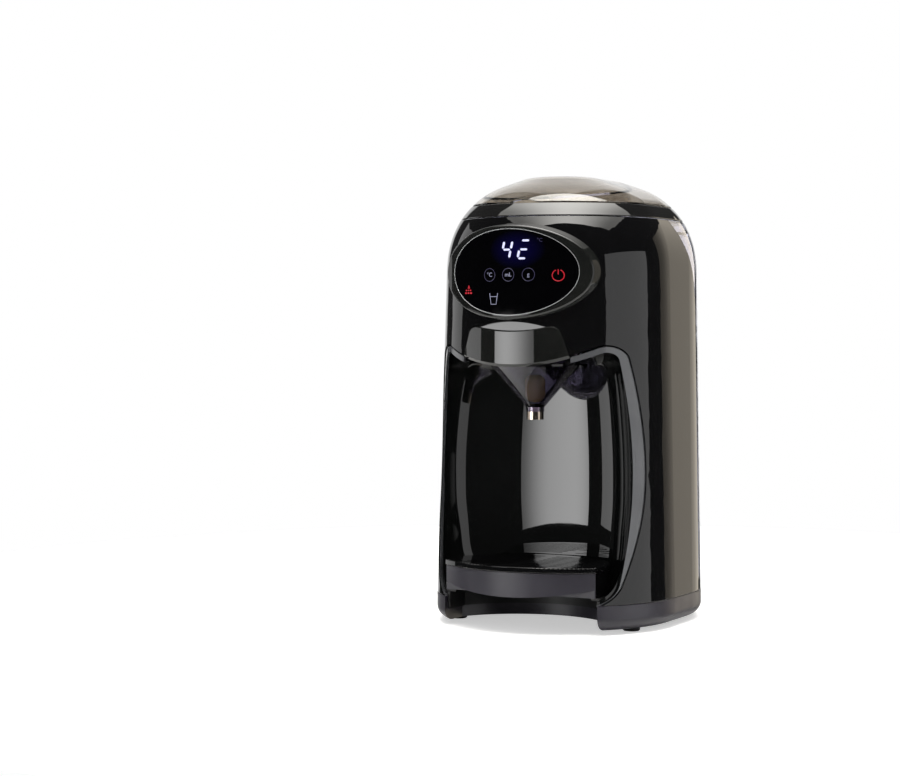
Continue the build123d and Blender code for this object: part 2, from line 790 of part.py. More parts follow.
# ------------------------------------------------------------------
# hopper, rim and lid
# ------------------------------------------------------------------
with BuildPart() as powder_hopper:
    add(rod(0, hop_y, floor_z, flange_z, hop_r))
    add(rod(0, hop_y, flange_z, flange_z + 2, hop_r + 3))
    add(rod(0, hop_y, 243, flange_z + 2, hop_r - 2.2), mode=Mode.SUBTRACT)
    # outlet
    add(rod(0, pour_y, 240, 243, 8.6), mode=Mode.SUBTRACT)
    # bearing for the dosing shaft
    add(rod(0, hop_y, 240, 243, 4.08), mode=Mode.SUBTRACT)
powder_hopper.part.label = "powder_hopper"
export_step(powder_hopper.part, "parts/powder_hopper.step")

# plate above the outlet, so that powder only falls from a filled pocket
with BuildPart() as powder_baffle:
    with BuildSketch(Plane.XY.offset(257.6)):
        with BuildLine():
            Line((-12, hop_y - 12), (12, hop_y - 12))
            Line((12, hop_y - 12), (26, hop_y - 45.95))
            ThreePointArc((26, hop_y - 45.95), (0, hop_y - 52.8), (-26, hop_y - 45.95))
            Line((-26, hop_y - 45.95), (-12, hop_y - 12))
        make_face()
    extrude(amount=1.6)
powder_baffle.part.label = "powder_baffle"
export_step(powder_baffle.part, "parts/powder_baffle.step")

pocket_half = knuckle_half + 0.4


def hinge_barrel(x0, x1, r):
    """Cylinder on the lid's hinge axis."""
    with BuildPart() as b:
        with BuildSketch(Plane.YZ.offset(x0)):
            with Locations((hinge_y, hinge_z)):
                Circle(r)
        extrude(amount=x1 - x0)
    return b.part


rim_band = rounded(form(0, z_seam + gap, z_rim), edge_round)
rim_hollow = form(wall, z_seam + gap, z_rim)
with BuildPart() as hopper_rim:
    add(rim_band)
    add(rim_hollow, mode=Mode.SUBTRACT)
    add(common(rim_hollow, slab(-100, 100, -110, 110, flange_z - 2.2, flange_z)))
    add(rod(0, hop_y, 300, 320, hop_r), mode=Mode.SUBTRACT)
    # hinge: knuckles at the back with a pocket for the lid's own knuckle
    for s in (-1, 1):
        add(hinge_barrel(pocket_half * s, hinge_half * s, 3.2))
        add(slab(pocket_half * s, hinge_half * s, 88, hinge_y, 311, hinge_z))
    add(hinge_barrel(-pocket_half, pocket_half, 3.8), mode=Mode.SUBTRACT)
    add(slab(-pocket_half, pocket_half, 91, 100, 312.2, 320), mode=Mode.SUBTRACT)
    add(hinge_barrel(-hinge_half, hinge_half, 1.3), mode=Mode.SUBTRACT)
hopper_rim.part.label = "hopper_rim"
export_step(hopper_rim.part, "parts/hopper_rim.step")

with BuildPart() as lid_hinge_pin:
    add(hinge_barrel(-hinge_half, hinge_half, 1.3))
lid_hinge_pin.part.label = "lid_hinge_pin"
export_step(lid_hinge_pin.part, "parts/lid_hinge_pin.step")

with BuildPart() as lid_seal:
    add(rod(0, hop_y, flange_z + 2, flange_z + 3.8, 57))
    add(rod(0, hop_y, flange_z + 2, flange_z + 3.8, 53), mode=Mode.SUBTRACT)
lid_seal.part.label = "lid_seal"
export_step(lid_seal.part, "parts/lid_seal.step")

dome_inner = form(wall, z_rim - 4, z_top)
press_ring = less(rod(0, hop_y, 314.6, 335, 56), rod(0, hop_y, 314.6, 335, 54))
with BuildPart() as lid_dome:
    add(form(0, z_rim + gap, z_top))
    fillet(lid_dome.edges().group_by(Axis.Z)[0], edge_round)
    add(dome_inner, mode=Mode.SUBTRACT)
    # ring that presses on the seal
    add(common(press_ring, dome_inner))
    # finger notch in the front edge
    with BuildSketch(Plane.XZ.offset(60)):
        with Locations((0, z_rim)):
            Ellipse(11, 2.6)
    extrude(amount=60, mode=Mode.SUBTRACT)
    # room for the rim's knuckles, then the lid's own knuckle
    for s in (-1, 1):
        add(hinge_barrel(knuckle_half * s, (hinge_half + 0.5) * s, 3.6), mode=Mode.SUBTRACT)
    add(hinge_barrel(-knuckle_half, knuckle_half, 3.2))
    add(slab(-knuckle_half, knuckle_half, 90.5, hinge_y - 1.5, z_rim + gap, 319.6))
    add(hinge_barrel(-knuckle_half, knuckle_half, 1.36), mode=Mode.SUBTRACT)
lid_dome.part.label = "lid_dome"
export_step(lid_dome.part, "parts/lid_dome.step")

# ------------------------------------------------------------------
# funnel drawer
# ------------------------------------------------------------------
plate_y = -104.7 + plate_r
plate_face = rod(0, plate_y, 180, 240, plate_r)


def on_plate_face(edge):
    """True where an edge lies on the front face of the drawer plate."""
    spots = [edge @ t for t in (0, 0.5, 1)]
    return all(math.hypot(p.X, p.Y - plate_y) > plate_r - 0.05 for p in spots)


with BuildPart() as drawer_front:
    add(common(drawer_prism(0.35, 190, -90), plate_face))
    add(rod(0, plate_y, 180, 240, plate_r - 3.2), mode=Mode.SUBTRACT)
    # lower edge follows the hanging lip of the body
    with BuildSketch(Plane.XZ.offset(60)):
        with Locations((0, lip_z + lip_r)):
            Circle(lip_r + 0.5)
        with Locations((0, lip_z + lip_r)):
            Circle(60, mode=Mode.SUBTRACT)
    extrude(amount=70, mode=Mode.INTERSECT)
    # bevel along the lower edge, rounding along the others
    outline = drawer_front.edges().filter_by(lambda e: on_plate_face(e))
    lower = outline.sort_by(SortBy.LENGTH)[-1]
    chamfer(lower, lip_bevel)
    outline = drawer_front.edges().filter_by(lambda e: on_plate_face(e) and e.center().Z > 200)
    fillet(outline, edge_round)
    # back web that the frame is fixed to
    web = common(slab(-36.5, 36.5, -104, -82, 206, 219), rod(0, plate_y, 180, 240, 102))
    add(less(web, rod(0, pour_y, 180, 240, drawer_half)))
drawer_front.part.label = "drawer_front"
export_step(drawer_front.part, "parts/drawer_front.step")

with BuildPart() as drawer_frame:
    with BuildSketch(Plane.XY.offset(drawer_z0)):
        with Locations((0, pour_y)):
            Circle(drawer_half)
        with Locations((0, pour_y - 9.5)):
            Rectangle(2 * drawer_half, 19)
        with Locations((0, pour_y)):
            Circle(33.9, mode=Mode.SUBTRACT)
    extrude(amount=drawer_z1 - drawer_z0)
    # runners
    for s in (1, -1):
        add(slab(36 * s, 38.9 * s, -81.5, -40, 211, 214))
drawer_frame.part.label = "drawer_frame"
export_step(drawer_frame.part, "parts/drawer_frame.step")

with BuildPart() as mixing_funnel:
    with BuildSketch(Plane.XZ) as profile:
        with BuildLine():
            Polyline((35.4, 219.1), (35.4, 221), (31.8, 221), (31.8, 198), (5.2, 168.4),
                     (5.2, 162), (6.9, 162), (6.9, 165.3), (33.4, 196.2), (33.4, 219.1),
                     (35.4, 219.1))
        make_face()
    revolve(axis=Axis.Z)
mixing_funnel.part.label = "mixing_funnel"

with BuildPart() as funnel_nozzle:
    with BuildSketch(Plane.XZ):
        with BuildLine():
            Polyline((3.6, 156), (6.4, 156), (6.4, 161.95), (5.15, 161.95), (5.15, 168),
                     (3.6, 166), (3.6, 156))
        make_face()
    revolve(axis=Axis.Z)
funnel_nozzle.part.label = "funnel_nozzle"

# the turned parts are made about Z and then moved to the pouring axis
for turned in (powder_chute, mixing_funnel, funnel_nozzle):
    moved = turned.part.moved(Location((0, pour_y, 0)))
    moved.label = turned.part.label
    export_step(moved, "parts/" + moved.label + ".step")

with BuildPart() as funnel_seal:
    add(rod(0, pour_y, 221, 221.8, 35))
    add(rod(0, pour_y, 221, 221.8, 32.4), mode=Mode.SUBTRACT)
funnel_seal.part.label = "funnel_seal"
export_step(funnel_seal.part, "parts/funnel_seal.step")

# ------------------------------------------------------------------
# water path behind the bay
# ------------------------------------------------------------------
with BuildPart() as tank_socket:
    add(rod_y(dock_x, dock_z, 18, 31.7, 13))
    add(rod_y(dock_x, dock_z, 20, 31.7, 8.5), mode=Mode.SUBTRACT)
    add(rod_y(dock_x, dock_z, 23.5, 26, 9.6), mode=Mode.SUBTRACT)
    add(rod_y(dock_x, dock_z, 12, 18, 4.2))
    add(rod_y(dock_x, dock_z, 12, 20, 2), mode=Mode.SUBTRACT)
tank_socket.part.label = "tank_socket"
export_step(tank_socket.part, "parts/tank_socket.step")

with BuildPart() as socket_seal:
    add(rod_y(dock_x, dock_z, 23.6, 25.9, 9.6))
    add(rod_y(dock_x, dock_z, 23.6, 25.9, 8.4), mode=Mode.SUBTRACT)
socket_seal.part.label = "socket_seal"
export_step(socket_seal.part, "parts/socket_seal.step")

with BuildPart() as water_pump:
    add(rod(dock_x, pump_y, 62, 108, 16))
    add(rod(dock_x, pump_y, 58, 62, 12))
    add(rod(dock_x, pump_y, 108, 112, 12))
    add(rod(dock_x, pump_y, 50, 58, 4.2))
    add(rod(dock_x, pump_y, 112, 119, 4.2))
    add(slab(-60, -50, -3, 11, 78, 92))
water_pump.part.label = "water_pump"
export_step(water_pump.part, "parts/water_pump.step")

with BuildPart() as pump_mounts:
    for z in (66, 96):
        add(rod(dock_x, pump_y, z, z + 8, 19))
        add(slab(-47, -23, 12, 31.7, z, z + 8))
    add(rod(dock_x, pump_y, 60, 110, 16), mode=Mode.SUBTRACT)
    add(slab(-63, -49, -3.2, 11.2, 77, 93), mode=Mode.SUBTRACT)
pump_mounts.part.label = "pump_mounts"
export_step(pump_mounts.part, "parts/pump_mounts.step")

with BuildPart() as flow_meter:
    add(rod(dock_x, pump_y, 130, 146, 13))
    add(rod(dock_x, pump_y, 123, 130, 4.2))
    add(rod(dock_x, pump_y, 146, 153, 4.2))
    add(slab(-41, -29, 16, 24, 132, 144))
flow_meter.part.label = "flow_meter"
export_step(flow_meter.part, "parts/flow_meter.step")

heater_pipes = (heater_x - 12, heater_x + 12)
with BuildPart() as heater_block:
    add(slab(heater_x - 22, heater_x + 22, -8, 22, 62, 148))
    fillet(heater_block.edges().filter_by(Axis.Z), 5)
    # pipe stubs above, ends of the heating element below
    for x in heater_pipes:
        add(rod(x, heater_y, 148, 156, 4.2))
        add(rod(x, heater_y, 54, 62, 3))
    for z in (72, 86, 100, 114, 128):
        add(slab(19, 22, -9, 23, z, z + 4), mode=Mode.SUBTRACT)
heater_block.part.label = "heater_block"
export_step(heater_block.part, "parts/heater_block.step")

with BuildPart() as heater_bracket:
    add(slab(16, 68, 22, 31.7, 68, 78))
    add(slab(16, 68, 22, 31.7, 128, 138))
heater_bracket.part.label = "heater_bracket"
export_step(heater_bracket.part, "parts/heater_bracket.step")

with BuildPart() as thermal_fuse:
    add(rod_y(heater_x, 105, -11.5, -8, 7))
    add(slab(heater_x - 11, heater_x + 11, -9.4, -8, 102, 108))
    add(slab(heater_x - 5, heater_x - 3, -14, -11.5, 103.6, 106.4))
    add(slab(heater_x + 3, heater_x + 5, -14, -11.5, 103.6, 106.4))
thermal_fuse.part.label = "thermal_fuse"
export_step(thermal_fuse.part, "parts/thermal_fuse.step")

with BuildPart() as hose_tank:
    add(hose([(dock_x, 17.9, dock_z), (dock_x, pump_y, dock_z), (dock_x, pump_y, 57.9)],
             hose_outer, hose_inner, 7))
hose_tank.part.label = "hose_tank"
export_step(hose_tank.part, "parts/hose_tank.step")

with BuildPart() as hose_pump:
    add(rod(dock_x, pump_y, 112.1, 129.9, hose_outer))
    add(rod(dock_x, pump_y, 112.1, 129.9, hose_inner), mode=Mode.SUBTRACT)
hose_pump.part.label = "hose_pump"
export_step(hose_pump.part, "parts/hose_pump.step")

with BuildPart() as hose_heater:
    add(hose([(dock_x, pump_y, 146.1), (dock_x, pump_y, 178), (30, 6, 178), (30, 6, 148.1)],
             hose_outer, hose_inner, 14))
hose_heater.part.label = "hose_heater"
export_step(hose_heater.part, "parts/hose_heater.step")

with BuildPart() as hot_water_spout:
    add(hose([(54, 6, 156.05), (54, 6, 170), (56, 6, 190), (56, 6, 227), (56, -50, 227),
              (14, -50, 227), (14, -50, 222.6)], 2.8, 2, 4))
hot_water_spout.part.label = "hot_water_spout"
export_step(hot_water_spout.part, "parts/hot_water_spout.step")

with BuildPart() as control_board:
    add(slab(-73.6, -72, -12, 28, 44, 170))
    add(slab(-72, -56, 0, 24, 120, 146))
    add(slab(-72, -60, -8, 6, 90, 106))
    add(slab(-72, -66, 8, 26, 96, 112))
    add(rod_y(-66, 158, -6, 12, 6))
    add(slab(-72, -66, -8, 26, 46, 56))
control_board.part.label = "control_board"
export_step(control_board.part, "parts/control_board.step")

with BuildPart() as board_bracket:
    add(slab(-78, -68, -12, 28, 22, 28))
    add(slab(-78, -73.6, -12, 28, 28, 60))
board_bracket.part.label = "board_bracket"
export_step(board_bracket.part, "parts/board_bracket.step")

# ------------------------------------------------------------------
# water tank
# ------------------------------------------------------------------
tank_skin = common(form(0, tank_z0, tank_z1), rear_prism(gap))
tank_core = common(form(wall + 0.4, tank_z0, tank_z1), slab(-100, 100, tank_y, 120, 0, 310))
ear_hollow = common(form(wall, 20, 320), slab(-100, 100, -20, tank_y, 20, 320))


def tank_layer(z0, z1):
    """Inside of the tank between two heights, a wide part and a narrower one before it."""
    wide = common(form(cavity_wall, z0, z1), slab(-100, 100, cavity_y, 120, z0, z1))
    front = common(form(cavity_front_wall, z0, z1), slab(-100, 100, cavity_front_y, 120, z0, z1))
    return wide, front


with BuildPart() as water_tank:
    add(tank_skin)
    add(ear_hollow, mode=Mode.SUBTRACT)
    add(tank_core)
    for layer in tank_layer(tank_floor, 320):
        add(layer, mode=Mode.SUBTRACT)
    add(rod_y(dock_x, dock_z, 30, 40, 8), mode=Mode.SUBTRACT)
    # shallow grip across the back
    add(ellipse_prism(26, 7, 236, 118, 110.4), mode=Mode.SUBTRACT)
water_tank.part.label = "water_tank"
export_step(water_tank.part, "parts/water_tank.step")

lug_angles = (0, 120, 240)


def lug_ring(r0, r1, half_angle, turn, z0, z1):
    """Short ring segments, one for each lug of the bayonet."""
    with BuildPart() as b:
        for lug in lug_angles:
            a0 = math.radians(lug + turn - half_angle)
            am = math.radians(lug + turn)
            a1 = math.radians(lug + turn + half_angle)
            with BuildSketch(Plane.XY.offset(z0)):
                with BuildLine():
                    Line((r0 * math.cos(a0), r0 * math.sin(a0)), (r1 * math.cos(a0), r1 * math.sin(a0)))
                    ThreePointArc((r1 * math.cos(a0), r1 * math.sin(a0)),
                                  (r1 * math.cos(am), r1 * math.sin(am)),
                                  (r1 * math.cos(a1), r1 * math.sin(a1)))
                    Line((r1 * math.cos(a1), r1 * math.sin(a1)), (r0 * math.cos(a1), r0 * math.sin(a1)))
                    ThreePointArc((r0 * math.cos(a1), r0 * math.sin(a1)),
                                  (r0 * math.cos(am), r0 * math.sin(am)),
                                  (r0 * math.cos(a0), r0 * math.sin(a0)))
                make_face()
            extrude(amount=z1 - z0)
    return b.part.moved(Location((0, cap_y, 0)))


with BuildPart() as tank_top:
    for layer in tank_layer(tank_plate, tank_plate + 2.4):
        add(layer)
    add(rod(0, cap_y, 290, 300, 18), mode=Mode.SUBTRACT)
    add(lug_ring(17, 21, 17, 60, 295, 300), mode=Mode.SUBTRACT)
tank_top.part.label = "tank_top"
export_step(tank_top.part, "parts/tank_top.step")

with BuildPart() as tank_cap:
    add(rod(0, cap_y, 298.8, 301, 21.5))
    add(rod(0, cap_y, 293, 298.8, 17.6))
    add(rod(0, cap_y, 293, 297, 15), mode=Mode.SUBTRACT)
    add(lug_ring(16.5, 20.4, 13, 0, 293, 295.6))
    add(slab(-15, 15, cap_y - 2.5, cap_y + 2.5, 301, 305.4))
tank_cap.part.label = "tank_cap"
export_step(tank_cap.part, "parts/tank_cap.step")

with BuildPart() as tank_valve:
    add(rod_y(dock_x, dock_z, 27, 40, 8))
    add(rod_y(dock_x, dock_z, 37, 40, 10.5))
    add(rod_y(dock_x, dock_z, 29, 40, 5), mode=Mode.SUBTRACT)
    # slit of the duckbill
    add(slab(dock_x - 4, dock_x + 4, 27, 29, dock_z - 0.3, dock_z + 0.3), mode=Mode.SUBTRACT)
tank_valve.part.label = "tank_valve"
export_step(tank_valve.part, "parts/tank_valve.step")

float_x, float_y = 34.0, 50.0
with BuildPart() as float_guide:
    add(rod(float_x, float_y, tank_floor, 70, 2.5))
    add(rod(float_x, float_y, tank_floor, 32, 7))
    add(rod(float_x, float_y, 70, 72, 6))
float_guide.part.label = "float_guide"
export_step(float_guide.part, "parts/float_guide.step")

with BuildPart() as water_float:
    add(rod(float_x, float_y, 32.4, 48, 10))
    fillet(water_float.edges(), 1.5)
    add(rod(float_x, float_y, 32, 49, 2.85), mode=Mode.SUBTRACT)
    add(rod(float_x, float_y, 38, 42, 6.8), mode=Mode.SUBTRACT)
water_float.part.label = "water_float"
export_step(water_float.part, "parts/water_float.step")

with BuildPart() as float_magnet:
    add(rod(float_x, float_y, 38, 42, 6.8))
    add(rod(float_x, float_y, 38, 42, 3.4), mode=Mode.SUBTRACT)
float_magnet.part.label = "float_magnet"
export_step(float_magnet.part, "parts/float_magnet.step")

# ------------------------------------------------------------------
# drip tray
# ------------------------------------------------------------------
def tray_plan(inset, z0, z1):
    """D-shaped plan of the tray between the legs."""
    half = tray_half - inset
    r_front = foot_r - 0.4 - inset
    r_back = 67.4 - inset
    cy = bay_back_y - recess_r
    y_front = -foot_half - math.sqrt(r_front**2 - half**2)
    y_back = cy + math.sqrt(r_back**2 - half**2)
    with BuildPart() as b:
        with BuildSketch(Plane.XY.offset(z0)):
            with BuildLine():
                ThreePointArc((-half, y_front), (0, -foot_half - r_front), (half, y_front))
                Line((half, y_front), (half, y_back))
                ThreePointArc((half, y_back), (0, cy + r_back), (-half, y_back))
                Line((-half, y_back), (-half, y_front))
            make_face()
        extrude(amount=z1 - z0)
    return b.part


with BuildPart() as drip_tray:
    add(tray_plan(0.6, tray_z0, tray_z1))
    add(tray_plan(3.2, tray_z0 + wall, 60), mode=Mode.SUBTRACT)
    # solid front bar, whose lower edge lifts towards both ends
    add(common(tray_plan(0.6, tray_z0, tray_lift + wall), slab(-100, 100, -130, -86, 20, 60)))
    with BuildSketch(Plane.XZ.offset(89)):
        with BuildLine():
            ThreePointArc((-63, tray_lift), (0, tray_z0), (63, tray_lift))
            Polyline((63, tray_lift), (63, 20), (-63, 20), (-63, tray_lift))
        make_face()
    extrude(amount=30, mode=Mode.SUBTRACT)
drip_tray.part.label = "drip_tray"
export_step(drip_tray.part, "parts/drip_tray.step")

with BuildPart() as tray_cover:
    add(rounded(tray_plan(0, 46, tray_top), edge_round))
    add(tray_plan(3.6, 43, 47.6))
    add(tray_plan(5.6, 40, 47.4), mode=Mode.SUBTRACT)
    # drain slots, shorter towards the rounded ends
    for k in range(9):
        y = -95 + 7.5 * k
        with BuildSketch(Plane.XY.offset(47)):
            for x in (-24.5, 24.5):
                with Locations((x, y)):
                    SlotOverall(40, 3)
        extrude(amount=4, mode=Mode.SUBTRACT)
tray_cover.part.label = "tray_cover"
export_step(tray_cover.part, "parts/tray_cover.step")
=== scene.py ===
# %% [markdown]
# # Baby formula maker
# The machine is a glossy black capsule with a smoky lid, an oval display pod and an arched bay
# for the bottle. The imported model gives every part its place, so each piece here is either one
# of its parts with a better finish, or a new piece that stands for one. Everything is in metres.

# %% Load the frame
import bpy
import json
import math
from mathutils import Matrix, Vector


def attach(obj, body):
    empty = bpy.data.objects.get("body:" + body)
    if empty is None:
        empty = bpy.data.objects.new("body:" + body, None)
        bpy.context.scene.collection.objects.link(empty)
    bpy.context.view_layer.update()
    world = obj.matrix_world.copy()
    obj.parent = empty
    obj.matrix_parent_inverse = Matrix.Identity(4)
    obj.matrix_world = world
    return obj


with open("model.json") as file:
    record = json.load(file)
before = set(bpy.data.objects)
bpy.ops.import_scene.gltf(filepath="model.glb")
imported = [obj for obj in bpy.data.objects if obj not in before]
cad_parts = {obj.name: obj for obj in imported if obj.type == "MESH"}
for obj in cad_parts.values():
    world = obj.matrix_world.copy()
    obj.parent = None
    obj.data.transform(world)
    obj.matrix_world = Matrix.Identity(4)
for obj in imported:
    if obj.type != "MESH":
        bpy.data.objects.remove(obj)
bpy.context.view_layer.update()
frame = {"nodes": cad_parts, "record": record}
nodes = frame["nodes"]
MM = 0.001

# %% [markdown]
# ## Camera
# A machine like this is shown from a little to its right and from about the height of its
# display, with a long lens, so that the sides stay nearly parallel. The camera looks past the
# machine's left side, which puts the machine right of the middle without any lens shift.

# %% Camera
cam_data = bpy.data.cameras.new("studio_camera")
cam_data.sensor_width = 36.0
cam_data.lens = 83.55
camera = bpy.data.objects.new("studio_camera", cam_data)
bpy.context.scene.collection.objects.link(camera)
camera.location = (0.6851, -1.4738, 0.2255)
TURN = math.radians(28.23)
PITCH = math.radians(1.68)
look = Vector((-math.sin(TURN) * math.cos(PITCH), math.cos(TURN) * math.cos(PITCH), -math.sin(PITCH)))
camera.rotation_euler = look.to_track_quat("-Z", "Y").to_euler()
bpy.context.scene.camera = camera
bpy.context.scene.view_settings.view_transform = "Standard"
print("camera at", tuple(round(v, 3) for v in camera.location))

# %% [markdown]
# ## Small helpers
# One function turns a hex colour into the linear numbers that a shader wants. One function adds
# a shader node with its settings and links, so that each material reads as a short recipe.

# %% Helpers for colours and shader nodes


def linear(hex_colour):
    """sRGB hex such as '1a1b1c' to linear RGBA."""
    out = []
    for k in (0, 2, 4):
        c = int(hex_colour[k:k + 2], 16) / 255
        out.append(c / 12.92 if c <= 0.04045 else ((c + 0.055) / 1.055) ** 2.4)
    return (*out, 1.0)


def add_node(tree, kind, settings=None, links=None):
    """Adds a node, sets its sockets or properties by name and links its inputs."""
    made = tree.nodes.new(kind)
    for key, value in (settings or {}).items():
        if isinstance(key, int) or key in made.inputs:
            made.inputs[key].default_value = value
        else:
            setattr(made, key, value)
    for key, source in (links or {}).items():
        tree.links.new(source, made.inputs[key])
    return made


def new_material(name):
    """Empty material with its output node."""
    mat = bpy.data.materials.new(name)
    mat.use_nodes = True
    mat.node_tree.nodes.clear()
    out = mat.node_tree.nodes.new("ShaderNodeOutputMaterial")
    return mat, mat.node_tree, out


def mottled(tree, scale, low, high, detail=3.0):
    """Noise in object space squeezed between two values, for roughness or colour mixing."""
    where = add_node(tree, "ShaderNodeTexCoord")
    noise = add_node(tree, "ShaderNodeTexNoise", {"Scale": scale, "Detail": detail},
                     {"Vector": where.outputs["Object"]})
    span = add_node(tree, "ShaderNodeMapRange", {"From Min": 0.3, "From Max": 0.7,
                                                 "To Min": low, "To Max": high},
                    {"Value": noise.outputs["Fac"]})
    return span.outputs["Result"]


def grain_bump(tree, size_mm, depth_mm, detail=2.0):
    """Bump from noise whose grains are about size_mm wide and depth_mm deep."""
    where = add_node(tree, "ShaderNodeTexCoord")
    noise = add_node(tree, "ShaderNodeTexNoise", {"Scale": 1.0 / (size_mm * MM), "Detail": detail},
                     {"Vector": where.outputs["Object"]})
    bump = add_node(tree, "ShaderNodeBump", {"Strength": 1.0, "Distance": depth_mm * MM},
                    {"Height": noise.outputs["Fac"]})
    return bump.outputs["Normal"]


GLOSS_PATCH = 0.4  # patches of gloss are this much smaller than the patches of tone


def moulded(name, dark, pale, rough_low, rough_high, grain_mm, depth_mm, patch_mm=40.0, ior=1.5):
    """Moulded plastic: two near tones in soft patches, uneven gloss and a fine surface grain."""
    mat, tree, out = new_material(name)
    tone = mottled(tree, 1.0 / (patch_mm * MM), 0.0, 1.0)
    mix = add_node(tree, "ShaderNodeMix", {"data_type": "RGBA", 6: linear(dark), 7: linear(pale)},
                   {0: tone})
    rough = mottled(tree, 1.0 / (patch_mm * GLOSS_PATCH * MM), rough_low, rough_high)
    shader = add_node(tree, "ShaderNodeBsdfPrincipled", {"IOR": ior},
                      {"Base Color": mix.outputs[2], "Roughness": rough,
                       "Normal": grain_bump(tree, grain_mm, depth_mm)})
    tree.links.new(shader.outputs["BSDF"], out.inputs["Surface"])
    return mat


print("helpers ready")

# %% [markdown]
# ## Finishes
# The skin is ABS moulded in a polished tool: nearly black, with sharp mirror reflections, and
# only a trace of orange peel. The skirt and the tray face come from a spark-eroded tool, which
# leaves a fine satin grain that spreads a highlight into a soft sheen. Each finish is two near
# tones in soft patches, because flow in the mould never leaves one even colour.

# %% Moulded plastics
piano_black = moulded("polished_black_ABS", "060607", "0a0a0b", 0.01, 0.03, 9.0, 0.0004)
bay_black = moulded("polished_black_ABS_bay", "0a0b0b", "0e0f0f", 0.008, 0.02, 12.0, 0.0003)
bezel_black = moulded("polished_graphite_ABS", "121312", "191a19", 0.012, 0.03, 9.0, 0.0004)
# the trim's grey is a painted reflection: its face is flat, and the grey stands for the light that the
# bevel round the bay's opening catches
trim_gloss = moulded("grey_trim_painted_bevel_reflection", "47484b", "535457", 0.03, 0.06, 9.0, 0.0004)
satin_charcoal = moulded("spark_eroded_charcoal_ABS", "26242c", "302e36", 0.28, 0.38, 0.5, 0.012)
plain_black = moulded("matt_black_ABS", "0d0d0e", "151516", 0.42, 0.55, 0.8, 0.02)
acetal = moulded("natural_acetal", "d9d5c8", "e6e2d6", 0.30, 0.42, 1.2, 0.01)
white_pp = moulded("white_polypropylene", "ced2d6", "dde0e3", 0.28, 0.4, 1.2, 0.01)
opal = moulded("opal_polycarbonate", "d8dade", "eceef0", 0.2, 0.3, 2.0, 0.004)
silicone = moulded("moulded_silicone", "aeb0ad", "c2c3c0", 0.45, 0.6, 1.0, 0.02, ior=1.41)
rubber = moulded("black_rubber", "0c0c0c", "181818", 0.7, 0.85, 0.6, 0.03, ior=1.52)
print("plastics", len(bpy.data.materials))

# %% [markdown]
# Clear smoky plastic passes light through both of its faces. Its tint sits in the base colour of
# the transmission, so that two walls look darker than one, as in the real moulding.

# %% Smoky clear plastics


def smoky(name, tint, rough):
    """Tinted clear copolyester, polished on both faces."""
    mat, tree, out = new_material(name)
    shader = add_node(tree, "ShaderNodeBsdfPrincipled",
                      {"Base Color": linear(tint), "IOR": 1.5, "Transmission Weight": 1.0},
                      {"Roughness": mottled(tree, 30.0, rough, rough * 2.5),
                       "Normal": grain_bump(tree, 9.0, 0.0006)})
    tree.links.new(shader.outputs["BSDF"], out.inputs["Surface"])
    return mat


dome_smoke = smoky("smoky_copolyester_lid", "c9c2b8", 0.012)
tank_smoke = smoky("smoky_copolyester_tank", "e6e6ee", 0.02)
funnel_smoke = smoky("smoky_copolyester_funnel", "a19caf", 0.02)
print("clear plastics made")

# %% [markdown]
# ## Metals and the board
# Turned and drawn metal carries fine rings along its length, which stretch a highlight across
# them. Die-cast aluminium is duller and rougher. The board is green solder resist over copper.

# %% Metals and board
WAVE_BANDS = 20  # bands that the wave pattern puts in one unit at scale 1


def metal(name, colour_a, colour_b, rough_low, rough_high, ring_mm, depth_mm):
    """Machined metal with fine turning or drawing marks along its length."""
    mat, tree, out = new_material(name)
    where = add_node(tree, "ShaderNodeTexCoord")
    rings = add_node(tree, "ShaderNodeTexWave",
                     {"wave_type": "BANDS", "bands_direction": "Z",
                      "Scale": 1.0 / (ring_mm * MM * WAVE_BANDS), "Distortion": 1.5, "Detail": 2.0},
                     {"Vector": where.outputs["Object"]})
    mix = add_node(tree, "ShaderNodeMix",
                   {"data_type": "RGBA", 6: linear(colour_a), 7: linear(colour_b)},
                   {0: mottled(tree, 60.0, 0.0, 1.0)})
    bump = add_node(tree, "ShaderNodeBump", {"Strength": 1.0, "Distance": depth_mm * MM},
                    {"Height": rings.outputs["Fac"]})
    shader = add_node(tree, "ShaderNodeBsdfPrincipled", {"Metallic": 1.0},
                      {"Base Color": mix.outputs[2], "Normal": bump.outputs["Normal"],
                       "Roughness": mottled(tree, 120.0, rough_low, rough_high)})
    tree.links.new(shader.outputs["BSDF"], out.inputs["Surface"])
    return mat


nozzle_steel = metal("turned_stainless_steel", "b3a597", "c9bdb0", 0.12, 0.2, 0.5, 0.004)
plated_steel = metal("zinc_plated_steel", "a9abad", "bfc1c3", 0.25, 0.38, 0.4, 0.01)
drawn_can = metal("drawn_steel_can", "8e9092", "a5a7a9", 0.22, 0.34, 0.8, 0.008)
cast_alu = metal("die_cast_aluminium", "a7a8a8", "bcbdbd", 0.42, 0.55, 1.5, 0.03)
board = moulded("solder_resist_board", "0c3a20", "13502d", 0.25, 0.4, 1.5, 0.02, 12.0)
print("metals and board made")

# %% [markdown]
# ## Display window
# The window is black tinted acrylic with a coating against reflections. The lamps behind it also
# light the acrylic round the two digits a little, which shows as a faint violet bloom.

